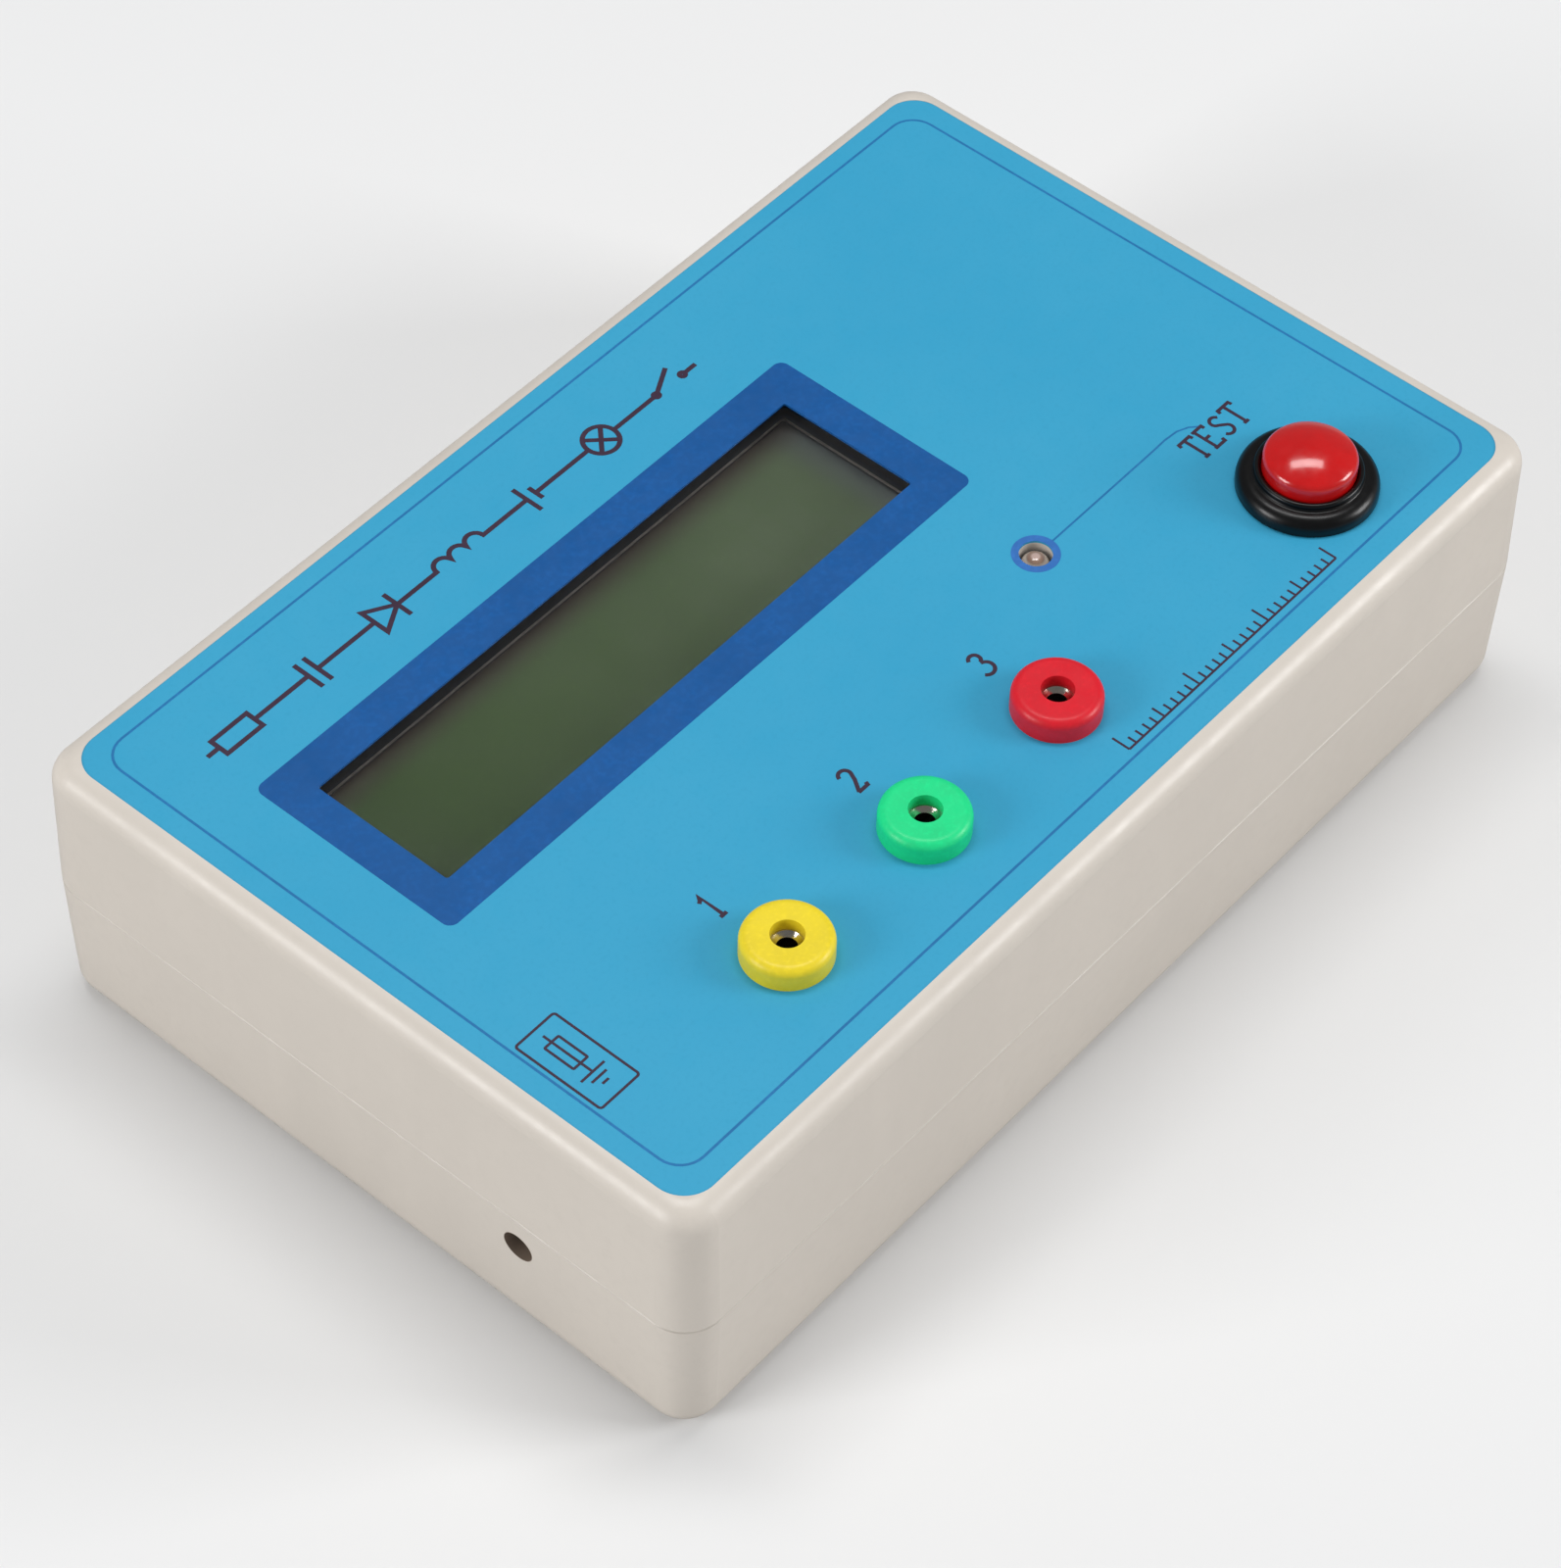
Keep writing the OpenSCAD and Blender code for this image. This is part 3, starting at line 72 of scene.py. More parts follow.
def make_camera():
    """Camera at the photograph's place, with its focal length in pixels turned into millimetres."""
    data = bpy.data.cameras.new("camera")
    data.sensor_width = SENSOR
    data.lens = FOCAL_PX * SENSOR / IMAGE_LONG_SIDE
    data.clip_start = 0.01
    camera = bpy.data.objects.new("camera", data)
    right = CAMERA_RIGHT.normalized()
    back = right.cross(CAMERA_UP).normalized()
    up = back.cross(right)
    turn = Matrix((right, up, back)).transposed().to_4x4()
    camera.matrix_world = Matrix.Translation(CAMERA_PLACE) @ turn
    bpy.context.scene.collection.objects.link(camera)
    bpy.context.scene.camera = camera


# ---- Finishes ----

# Width over which one colour turns into another at a sharp border
BORDER_BLEND = 0.01
# Nearly all of a noise lies in this span
NOISE_SPAN = (0.3, 0.7)
# Sockets of a Mix node that mixes colours
MIX_FACTOR = 0
MIX_FIRST = 6
MIX_SECOND = 7
MIX_RESULT = 2


def srgb(red, green, blue):
    """Linear colour of an 8-bit screen colour."""
    linear = []
    for value in (red, green, blue):
        share = value / 255
        linear.append(share / 12.92 if share <= 0.04045 else ((share + 0.055) / 1.055) ** 2.4)
    return (*linear, 1.0)


def shade(colour, factor):
    """The colour, lighter or darker by a factor."""
    return (*(min(channel * factor, 1.0) for channel in colour[:3]), 1.0)


class Finish:
    """A Principled material whose detail is laid out in object space, in millimetres."""

    def __init__(self, name, colour, roughness, **sockets):
        """Starts from one colour and roughness, and sets other sockets of the shader by name."""
        self.material = bpy.data.materials.new(name)
        self.material.use_nodes = True
        self.tree = self.material.node_tree
        self.shader = self.tree.nodes["Principled BSDF"]
        self.colour = colour
        self.shader.inputs["Base Color"].default_value = colour
        self.shader.inputs["Roughness"].default_value = roughness
        for socket, value in sockets.items():
            self.shader.inputs[socket.replace("_", " ")].default_value = value
        scaled = self.node("ShaderNodeMapping")
        scaled.inputs["Scale"].default_value = (1 / MM, 1 / MM, 1 / MM)
        self.link(self.node("ShaderNodeTexCoord").outputs["Object"], scaled.inputs["Vector"])
        self.place = scaled.outputs["Vector"]
        self.paint = None
        self.relief = None

    def node(self, kind, **settings):
        """A new node with its settings made."""
        made = self.tree.nodes.new(kind)
        for name, value in settings.items():
            setattr(made, name, value)
        return made

    def link(self, source, target):
        """Joins an output to an input."""
        self.tree.links.new(source, target)

    def stretched(self, stretch):
        """The place, scaled by a factor along each axis."""
        mapping = self.node("ShaderNodeMapping")
        mapping.inputs["Scale"].default_value = stretch
        self.link(self.place, mapping.inputs["Vector"])
        return mapping.outputs["Vector"]

    def noise(self, size, detail, stretch=None):
        """Soft noise whose spots are about size millimetres across, with finer ones by detail."""
        texture = self.node("ShaderNodeTexNoise")
        texture.inputs["Scale"].default_value = 1 / size
        texture.inputs["Detail"].default_value = detail
        self.link(self.stretched(stretch) if stretch else self.place, texture.inputs["Vector"])
        return texture.outputs["Fac"]

    def along(self, axis, low, high):
        """A ramp from 0 to 1 between two places along an axis, in millimetres."""
        parts = self.node("ShaderNodeSeparateXYZ")
        self.link(self.place, parts.inputs["Vector"])
        return self.ranged(parts.outputs[axis], low, high, 0, 1)

    def distance(self, point, axes):
        """Distance from a point, measured along the axes that are marked 1."""
        apart = self.node("ShaderNodeVectorMath", operation="DISTANCE")
        self.link(self.stretched(axes), apart.inputs[0])
        apart.inputs[1].default_value = point
        return apart.outputs["Value"]

    def within(self, x0, y0, x1, y1):
        """One inside an upright block that stands on a rectangle, and zero outside it."""
        product = None
        for axis, low, high in (("X", x0, x0 + BORDER_BLEND), ("X", x1 + BORDER_BLEND, x1),
                                ("Y", y0, y0 + BORDER_BLEND), ("Y", y1 + BORDER_BLEND, y1)):
            side = self.along(axis, low, high)
            product = side if product is None else self.product(product, side)
        return product

    def product(self, first, second):
        """Two masks multiplied."""
        step = self.node("ShaderNodeMath", operation="MULTIPLY")
        self.link(first, step.inputs[0])
        self.link(second, step.inputs[1])
        return step.outputs[0]

    def ranged(self, value, low, high, to_low, to_high):
        """The value brought from one range to another, and held inside it."""
        scale = self.node("ShaderNodeMapRange")
        ends = {"From Min": low, "From Max": high, "To Min": to_low, "To Max": to_high}
        for socket, number in ends.items():
            scale.inputs[socket].default_value = number
        self.link(value, scale.inputs["Value"])
        return scale.outputs["Result"]

    def stain(self, mask, colour, low, high, strength=1.0):
        """Another colour where the mask is high: none of it at low, and all its strength at high."""
        mix = self.node("ShaderNodeMix", data_type="RGBA")
        self.link(self.ranged(mask, low, high, 0, strength), mix.inputs[MIX_FACTOR])
        if self.paint is None:
            mix.inputs[MIX_FIRST].default_value = self.colour
        else:
            self.link(self.paint, mix.inputs[MIX_FIRST])
        mix.inputs[MIX_SECOND].default_value = colour
        self.paint = mix.outputs[MIX_RESULT]
        self.link(self.paint, self.shader.inputs["Base Color"])

    def polish(self, noise, low, high):
        """Roughness that follows a noise between two values."""
        self.link(self.ranged(noise, *NOISE_SPAN, low, high), self.shader.inputs["Roughness"])

    def bump(self, mask, depth, strength):
        """Relief of depth millimetres that follows the mask."""
        bump = self.node("ShaderNodeBump")
        bump.inputs["Strength"].default_value = strength
        bump.inputs["Distance"].default_value = depth * MM
        self.link(mask, bump.inputs["Height"])
        if self.relief is not None:
            self.link(self.relief, bump.inputs["Normal"])
        self.relief = bump.outputs["Normal"]
        self.link(self.relief, self.shader.inputs["Normal"])


FRAME_BLUE = srgb(16, 84, 150)

# The display's view, and the printed field round its window by its left, front, right and back
VIEW_WIDTH = 64.5
VIEW_DEPTH = 16.0
DISPLAY_FRAME = (-51.2, -1.96, 21.65, 22.3)
DISPLAY_FRAME_ROUND = 1.0

# The case: height of the seam, the bottom shell's bevel under it and the blend of the painted shade on
# that bevel, and the reach of the painted shade in the side hole and its blend
SEAM = 16.0
SEAM_BEVEL = 0.14
SEAM_SHADE_BLEND = 0.04
HOLE_SHADE_RADIUS = 1.7
HOLE_SHADE_BLEND = 0.02

# One character of the display, and how far the painted reflection reaches in from the right and the
# painted shadow from the back
CHARACTER_WIDTH = 3.55
CHARACTER_HEIGHT = 5.95
CHARACTER_GAP = 0.3
RIGHT_REFLECTION_REACH = 5.0
BACK_SHADOW_REACH = 3.6

# The resistors' colour bands: places from the middle, and half a band's width
BANDS = ((-1.7, srgb(150, 60, 30)), (-0.8, srgb(25, 22, 20)), (0.1, srgb(190, 40, 30)),
         (1.9, srgb(150, 110, 40)))
BAND_HALF = 0.22
BAND_BLEND = 0.02

# The battery's copper-coloured band, from its terminal end
BATTERY_BAND = 11.0
BATTERY_BLEND = 0.1


def case_finish():
    """Pale warm-grey plastic: fine spark-eroded grain, faint flow marks, painted shade in the side hole
    and on the seam's bevel.
    """
    base = srgb(210, 202, 192)
    made = Finish("case_plastic", base, 0.42, Specular_IOR_Level=0.5)
    made.stain(made.noise(26, 4), shade(base, 0.93), 0.35, 0.75, 0.8)
    made.stain(made.noise(1.1, 3), shade(base, 0.95), 0.5, 0.75, 0.6)
    made.stain(made.noise(9, 3, (1, 1, 0.25)), shade(base, 1.05), 0.5, 0.8, 0.5)
    # Side hole: painted shade on the wall of the bore round the trimmer's axis, on the left side only
    low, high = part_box("trimmer_rotor")
    axis = (low + high) / 2 / MM
    bore = made.ranged(made.distance((0, axis.y, axis.z), (0, 1, 1)),
                       HOLE_SHADE_RADIUS + HOLE_SHADE_BLEND, HOLE_SHADE_RADIUS - HOLE_SHADE_BLEND, 0, 1)
    made.stain(made.product(bore, made.along("X", 0, -1)), srgb(132, 116, 102), 0, 1)
    # Seam: painted shade on the bottom shell's upward bevel, toning down the highlight it catches
    above = made.along("Z", SEAM - SEAM_BEVEL - SEAM_SHADE_BLEND, SEAM - SEAM_BEVEL)
    below = made.along("Z", SEAM + SEAM_SHADE_BLEND / 2, SEAM)
    made.stain(made.product(above, below), shade(base, 0.87), 0, 1)
    made.polish(made.noise(3, 3), 0.32, 0.44)
    made.bump(made.noise(0.32, 2), 0.014, 0.5)
    made.bump(made.noise(6, 2), 0.05, 0.25)
    return made.material


def film_finish():
    """Sky-blue print with the display's dark field, under a satin polyester face."""
    base = srgb(52, 157, 197)
    made = Finish("film_print", base, 0.42, Specular_IOR_Level=0.25)
    made.stain(made.noise(30, 3), srgb(60, 162, 200), 0.35, 0.75, 0.7)
    made.stain(made.noise(0.5, 2), shade(base, 0.93), 0.5, 0.8, 0.5)
    x0, y0, x1, y1 = DISPLAY_FRAME
    inset = DISPLAY_FRAME_ROUND
    made.stain(made.within(x0 + inset, y0 + inset, x1 - inset, y1 - inset), FRAME_BLUE, 0.4, 0.6)
    made.polish(made.noise(2.5, 3), 0.36, 0.48)
    made.bump(made.noise(0.22, 1), 0.004, 0.5)
    made.bump(made.noise(18, 2), 0.03, 0.3)
    return made.material


def ink_finish(name, colour):
    """Screen ink with a slightly uneven body."""
    made = Finish(name, colour, 0.42, Specular_IOR_Level=0.25)
    made.stain(made.noise(0.6, 3), shade(colour, 1.35), 0.45, 0.8, 0.6)
    made.stain(made.noise(8, 2), shade(colour, 0.85), 0.4, 0.7, 0.6)
    made.polish(made.noise(1.5, 2), 0.36, 0.5)
    made.bump(made.noise(0.22, 1), 0.004, 0.5)
    return made.material


def plastic_finish(name, colour, grain, depth, gloss, coat=0.12, shine=0.5):
    """Coloured moulding plastic with faint cloudiness and a fine grain of a size and depth."""
    made = Finish(name, colour, gloss[0], Coat_Weight=coat, Coat_Roughness=0.12, Specular_IOR_Level=shine)
    made.stain(made.noise(2.4, 3), shade(colour, 0.86), 0.4, 0.75, 0.7)
    made.stain(made.noise(0.5, 2), shade(colour, 1.18), 0.5, 0.8, 0.5)
    made.polish(made.noise(1.2, 3), *gloss)
    made.bump(made.noise(grain, 2), depth, 0.5)
    return made.material


def gloss_finish(name, colour, scratch, gloss, coat, shine=0.5):
    """Polished plastic with fine wiping marks, which show by the strength of scratch."""
    made = Finish(name, colour, gloss[0], Coat_Weight=coat, Coat_Roughness=0.1, Specular_IOR_Level=shine)
    made.stain(made.noise(3, 3), shade(colour, 0.85), 0.4, 0.7, 0.7)
    made.stain(made.noise(0.25, 2, (1, 0.1, 1)), shade(colour, 1.25), 0.62, 0.8, scratch)
    made.polish(made.noise(0.8, 4), *gloss)
    made.bump(made.noise(0.35, 2, (1, 0.15, 1)), 0.002, 0.5)
    made.bump(made.noise(4, 2), 0.012, 0.3)
    return made.material


def metal_finish(name, colour, gloss=(0.16, 0.34), stretch=(1, 1, 0.12), size=0.12):
    """Bare or plated metal with fine turning or drawing marks and cloudy tarnish."""
    made = Finish(name, colour, gloss[0], Metallic=1.0)
    made.stain(made.noise(1.6, 4), shade(colour, 0.72), 0.45, 0.75, 0.8)
    made.polish(made.noise(0.9, 3), *gloss)
    made.bump(made.noise(size, 2, stretch), 0.004, 0.5)
    return made.material


def glass_finish():
    """Clear window, with a clear shader for shadow rays so that the lamps reach the display behind it."""
    made = Finish("window_clear", (0.97, 0.985, 0.98, 1), 0.0, Transmission_Weight=1.0, IOR=1.42)
    made.stain(made.noise(20, 2), (0.94, 0.96, 0.955, 1), 0.3, 0.8)
    mix = made.node("ShaderNodeMixShader")
    clear = made.node("ShaderNodeBsdfTransparent")
    made.link(made.node("ShaderNodeLightPath").outputs["Is Shadow Ray"], mix.inputs[0])
    made.link(made.shader.outputs[0], mix.inputs[1])
    made.link(clear.outputs[0], mix.inputs[2])
    made.link(mix.outputs[0], made.tree.nodes["Material Output"].inputs["Surface"])
    return made.material


def display_finish():
    """Olive reflective display, paler and greyer towards the right end as a painted reflection, with a
    brown painted shadow along the back edge and faint character cells.
    """
    base = srgb(46, 63, 32)
    low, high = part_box("lcd_bezel")
    middle = (low + high) / 2 / MM
    left, right = middle.x - VIEW_WIDTH / 2, middle.x + VIEW_WIDTH / 2
    back = middle.y + VIEW_DEPTH / 2
    made = Finish("display_cell", base, 0.3, Specular_IOR_Level=0.25)
    # Paler and greyer from left to right: painted reflection haze on the cell
    made.stain(made.along("X", left, right), srgb(72, 82, 64), 0.2, 1.0, 0.8)
    made.stain(made.noise(16, 2), shade(base, 0.85), 0.35, 0.75, 0.5)
    characters = made.node("ShaderNodeTexBrick", offset=0.0, squash=1.0)
    sizes = {"Scale": 1.0, "Brick Width": CHARACTER_WIDTH, "Row Height": CHARACTER_HEIGHT,
             "Mortar Size": CHARACTER_GAP}
    for socket, value in sizes.items():
        characters.inputs[socket].default_value = value
    made.link(made.place, characters.inputs["Vector"])
    made.stain(characters.outputs["Fac"], shade(base, 1.25), 0.4, 0.6, 0.12)
    # Grey right end: painted reflection
    made.stain(made.along("X", right - RIGHT_REFLECTION_REACH, right), srgb(68, 68, 78), 0.2, 1.0, 0.7)
    # Brown back edge: painted shadow of the bezel on the cell
    made.stain(made.along("Y", back - BACK_SHADOW_REACH, back), srgb(50, 40, 38), 0.1, 1.0, 0.95)
    made.polish(made.noise(6, 2), 0.32, 0.4)
    made.bump(made.noise(20, 1), 0.01, 0.2)
    return made.material


def board_finish():
    """Solder mask with paler copper tracks and pours under it and a fine weave."""
    base = srgb(16, 88, 48)
    copper = srgb(40, 124, 66)
    made = Finish("board_mask", base, 0.3, Coat_Weight=0.3, Coat_Roughness=0.15)
    long_tracks = made.noise(1.1, 0, (0.05, 1, 1))
    cross_tracks = made.noise(1.3, 0, (1, 0.07, 1))
    region = made.noise(14, 0)
    made.stain(long_tracks, copper, 0.55, 0.57, 0.9)
    crossed = made.product(made.ranged(cross_tracks, 0.56, 0.58, 0, 1),
                           made.ranged(region, 0.46, 0.48, 0, 1))
    made.stain(crossed, copper, 0.4, 0.6, 0.9)
    made.stain(region, copper, 0.66, 0.67, 0.9)
    made.stain(made.noise(6, 3), shade(base, 0.75), 0.45, 0.8, 0.5)
    made.polish(made.noise(2, 2), 0.24, 0.4)
    made.bump(made.ranged(long_tracks, 0.55, 0.57, 0, 1), 0.03, 0.5)
    made.bump(made.noise(0.4, 1), 0.01, 0.4)
    return made.material


def resistor_finish():
    """Pale-blue lacquer with colour bands round each body."""
    base = srgb(120, 168, 196)
    low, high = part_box("resistors")
    middle = (low.y + high.y) / 2 / MM
    made = Finish("resistor_lacquer", base, 0.3, Coat_Weight=0.4)
    for place, colour in BANDS:
        start = middle + place - BAND_HALF
        end = start + 2 * BAND_HALF
        inside = made.product(made.along("Y", start, start + BAND_BLEND),
                              made.along("Y", end, end - BAND_BLEND))
        made.stain(inside, colour, 0.4, 0.6)
    made.polish(made.noise(0.8, 2), 0.22, 0.4)
    made.bump(made.noise(0.5, 2), 0.02, 0.5)
    return made.material


def lamp_finish():
    """Water-clear lens over a small pinkish die and its reflector cup."""
    made = Finish("lamp_lens", srgb(214, 186, 176), 0.08,
                  Transmission_Weight=0.25, IOR=1.5, Coat_Weight=0.6)
    low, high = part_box("status_lamp")
    middle = (low + high) / 2 / MM
    apart = made.distance((middle.x, middle.y, 0), (1, 1, 0))
    made.stain(apart, srgb(164, 132, 112), 0.35, 0.55, 0.9)
    made.stain(apart, srgb(226, 212, 196), 0.8, 1.0, 0.9)
    made.stain(apart, srgb(120, 122, 140), 1.15, 1.45, 0.9)
    made.polish(made.noise(0.6, 2), 0.06, 0.16)
    return made.material


def battery_finish():
    """Dark wrapped battery with a copper-coloured band at its terminal end."""
    base = srgb(38, 38, 44)
    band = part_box("battery")[1].y / MM - BATTERY_BAND
    made = Finish("battery_wrap", base, 0.35, Metallic=0.5)
    made.stain(made.along("Y", band, band + BATTERY_BLEND), srgb(176, 110, 62), 0.4, 0.6)
    made.stain(made.noise(7, 3), shade(base, 1.4), 0.5, 0.8, 0.4)
    made.polish(made.noise(2, 3), 0.26, 0.44)
    made.bump(made.noise(0.8, 2), 0.01, 0.4)
    return made.material


def finishes():
    """One material for each slot of the record.

    A plastic's numbers are the size and depth of its grain, its least and most roughness, its coat
    and its shine. A polished one has the strength of its wiping marks first, in place of the grain.
    """
    steel = srgb(196, 196, 200)
    rings = {"yellow": srgb(235, 211, 40), "green": srgb(26, 218, 136), "red": srgb(216, 24, 40)}
    wires = {"yellow": srgb(232, 208, 60), "green": srgb(38, 150, 84), "red": srgb(190, 36, 38),
             "black": srgb(30, 30, 32)}
    made = {
        "case": case_finish(),
        "screw": metal_finish("screw_zinc", steel),
        "film": film_finish(),
        "clear": glass_finish(),
        "bezel": plastic_finish("bezel_paint", srgb(26, 25, 25), 0.3, 0.006, (0.4, 0.55), 0.0),
        "display": display_finish(),
        "strip": plastic_finish("strip_rubber", srgb(214, 150, 158), 0.5, 0.02, (0.6, 0.75), 0.0),
        "backlight": plastic_finish("backlight_diffuser", srgb(196, 206, 150), 0.6, 0.01, (0.4, 0.5), 0.1),
        "board": board_finish(),
        "black_plastic": plastic_finish("black_moulding", srgb(34, 34, 36), 0.3, 0.02, (0.4, 0.6), 0.0),
        "tin": metal_finish("tin_bright", srgb(206, 206, 208)),
        "capacitor": plastic_finish("capacitor_dip", srgb(214, 134, 46), 0.6, 0.03, (0.35, 0.5), 0.1),
        "electrolytic": plastic_finish("capacitor_sleeve", srgb(42, 52, 92), 0.4, 0.01, (0.25, 0.4)),
        "resistor": resistor_finish(),
        "trimmer": plastic_finish("trimmer_moulding", srgb(44, 90, 178), 0.3, 0.01, (0.35, 0.5)),
        # The rotor's dark brown is painted shade, so that the side hole in front of it looks dark
        "rotor": plastic_finish("rotor_painted_shade_brown", srgb(52, 44, 38), 0.4, 0.01, (0.4, 0.55), 0.0),
        "lamp": lamp_finish(),
        "nickel": metal_finish("nickel_plate", srgb(214, 208, 196), (0.1, 0.22)),
        "button_black": gloss_finish("button_gloss_black", srgb(8, 8, 9), 0.1, (0.28, 0.36), 0.08, 0.32),
        "button_red": gloss_finish("button_gloss_red", srgb(198, 14, 16), 0.4, (0.14, 0.26), 0.5),
        "brass": metal_finish("brass_strip", srgb(206, 170, 96)),
        "spring": metal_finish("spring_wire", steel, (0.14, 0.28), (1, 1, 1), 0.2),
        "battery": battery_finish(),
    }
    for name, colour in rings.items():
        made[name] = plastic_finish(f"ring_{name}", colour, 0.25, 0.02, (0.34, 0.46), 0.04, 0.35)
    for name, colour in wires.items():
        made[f"wire_{name}"] = plastic_finish(f"insulation_{name}", colour, 0.3, 0.01, (0.4, 0.55), 0.0)
    return made


def dress_frame(materials):
    """Gives every CAD node the material of its slot."""
    for thing in nodes.values():
        for slot in thing.material_slots:
            slot.material = materials[slot.material.name.split(".")[0]]


# ---- Shapes ----

LATHE_TURNS = 160


def new_piece(name, mesh, material, body="root"):
    """Puts a mesh in the scene with its material and its slot, riding on a body."""
    mesh.materials.append(material)
    piece = bpy.data.objects.new(name, mesh)
    bpy.context.scene.collection.objects.link(piece)
    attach(piece, body)
    return piece


def arc(centre, radius, start, end, steps):
    """Points on a circular arc, with its angles in degrees."""
    points = []
    for step in range(steps + 1):
        angle = math.radians(start + (end - start) * step / steps)
        points.append((centre[0] + radius * math.cos(angle), centre[1] + radius * math.sin(angle)))
    return points


def ring_path(centre, radius, steps=64):
    """Points round a circle, each of them once."""
    return arc(centre, radius, 0, 360, steps)[:-1]


def finished(name, work):
    """Mesh of a bmesh, with its faces turned outwards."""
    bmesh.ops.recalc_face_normals(work, faces=work.faces)
    mesh = bpy.data.meshes.new(name)
    work.to_mesh(mesh)
    work.free()
    return mesh


def combined(shapes, operation="UNION"):
    """One closed mesh: the first shape joined to the others, or with the others cut out of it."""
    parts = [bpy.data.objects.new(shape.name, shape) for shape in shapes]
    others = bpy.data.collections.new("others")
    bpy.context.scene.collection.objects.link(parts[0])
    bpy.context.scene.collection.children.link(others)
    for part in parts[1:]:
        others.objects.link(part)
    step = parts[0].modifiers.new("combine", "BOOLEAN")
    step.operation = operation
    step.solver = "EXACT"
    step.operand_type = "COLLECTION"
    step.collection = others
    whole = parts[0].evaluated_get(bpy.context.evaluated_depsgraph_get())
    mesh = bpy.data.meshes.new_from_object(whole)
    for part in parts:
        bpy.data.objects.remove(part)
    bpy.data.collections.remove(others)
    return mesh


def lathe(name, profile, centre):
    """Closed mesh turned about an upright axis from (radius, height) points that start and end on it."""
    work = bmesh.new()
    rings = []
    for radius, height in profile:
        count = LATHE_TURNS if radius > 0 else 1
        rings.append([work.verts.new((centre.x + x * MM, centre.y + y * MM, height * MM))
                      for x, y in ring_path((0, 0), radius, count)])
    for lower, upper in zip(rings, rings[1:]):
        for turn in range(LATHE_TURNS):
            after = (turn + 1) % LATHE_TURNS
            corners = [lower[turn % len(lower)], lower[after % len(lower)],
                       upper[after % len(upper)], upper[turn % len(upper)]]
            work.faces.new(list(dict.fromkeys(corners)))
    return finished(name, work)


def upright_box(name, centre, width, depth, low, high):
    """Box between two heights, with its middle on an upright axis."""
    work = bmesh.new()
    bmesh.ops.create_cube(work, size=MM)
    bmesh.ops.scale(work, vec=(width, depth, high - low), verts=work.verts)
    bmesh.ops.translate(work, vec=(centre.x, centre.y, (low + high) / 2 * MM), verts=work.verts)
    return finished(name, work)


def keep_edges(piece, degrees=30):
    """Shades smooth except across edges sharper than an angle."""
    mesh = piece.data
    mesh.polygons.foreach_set("use_smooth", [True] * len(mesh.polygons))
    mesh.set_sharp_from_angle(angle=math.radians(degrees))


def ribbon(work, points, width, low, high, closed):
    """Adds a flat stroke of even width along a path, as a closed prism between two heights."""
    count = len(points)
    sides = []
    for index, point in enumerate(points):
        here = Vector(point)
        before = Vector(points[(index - 1) % count]) if closed or index else None
        after = Vector(points[(index + 1) % count]) if closed or index < count - 1 else None
        into = (here - before).normalized() if before is not None else (after - here).normalized()
        out = (after - here).normalized() if after is not None else into
        across = Vector((-(into.y + out.y), into.x + out.x))
        across = across.normalized() if across.length > 1e-6 else Vector((-into.y, into.x))
        reach = width / 2 / max(across.dot(Vector((-into.y, into.x))), 0.5)
        sides.append((here + across * reach, here - across * reach))
    rings = []
    for left, right in sides:
        rings.append([work.verts.new((left.x * MM, left.y * MM, high * MM)),
                      work.verts.new((right.x * MM, right.y * MM, high * MM)),
                      work.verts.new((right.x * MM, right.y * MM, low * MM)),
                      work.verts.new((left.x * MM, left.y * MM, low * MM))])
    for index in range(count if closed else count - 1):
        here, there = rings[index], rings[(index + 1) % count]
        for corner in range(4):
            after = (corner + 1) % 4
            work.faces.new((here[corner], there[corner], there[after], here[after]))
    if not closed:
        work.faces.new(rings[0])
        work.faces.new(list(reversed(rings[-1])))


# ---- Print on the film ----

FILM_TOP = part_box("panel_film")[1].z / MM
FILM_CORNER = 3.2
FILM_EDGE = 0.14
FILM_EDGE_DEPTH = 0.2
INK_DEPTH = 0.01
INK_RISE = 0.012
OVERPRINT_RISE = 0.016

# The border line by its left, front, right and back
BORDER = (-57.6, -34.9, 57.4, 35.5)
BORDER_ROUND = 2.7
BORDER_PEN = 0.25

# How far the window's pane reaches under the film, and the radius of the window's corners
PANE_MARGIN = 2.0
WINDOW_ROUND = 0.3

# The ring's radius, where the line starts from the lamp's middle, and the line's other points
LAMP_RING = 2.0
LAMP_RING_PEN = 0.75
LAMP_LINE_START = (2.3, -0.15)
LAMP_LINE = ((36.2, -12.5), (38.0, -12.45), (39.7, -12.6), (40.9, -13.1), (41.8, -13.9))
LAMP_LINE_PEN = 0.2


def printed(name, strokes, material, rise=INK_RISE):
    """A piece of print made of strokes, each (points, width, closed), fused where they cross."""
    shapes = []
    for points, width, closed in strokes:
        work = bmesh.new()
        ribbon(work, points, width, FILM_TOP - INK_DEPTH, FILM_TOP + rise, closed)
        shapes.append(finished(name, work))
    return new_piece(name, combined(shapes), material)


def round_rect(x0, y0, x1, y1, radius, steps=8):
    """Points round a rectangle with round corners."""
    points = []
    for corner, start in (((x1, y1), 0), ((x0, y1), 90), ((x0, y0), 180), ((x1, y0), 270)):
        centre = (corner[0] + (radius if corner[0] == x0 else -radius),
                  corner[1] + (radius if corner[1] == y0 else -radius))
        points += arc(centre, radius, start, start + 90, steps)
    return points


def placed(strokes, origin, scale, width):
    """Strokes drawn in units of a sign's height, brought to their place. A tuple holds a closed one."""
    moved = []
    for stroke in strokes:
        closed = isinstance(stroke, tuple)
        points = stroke[0] if closed else stroke
        moved.append(([(origin[0] + x * scale, origin[1] + y * scale) for x, y in points],
                      width, closed))
    return moved


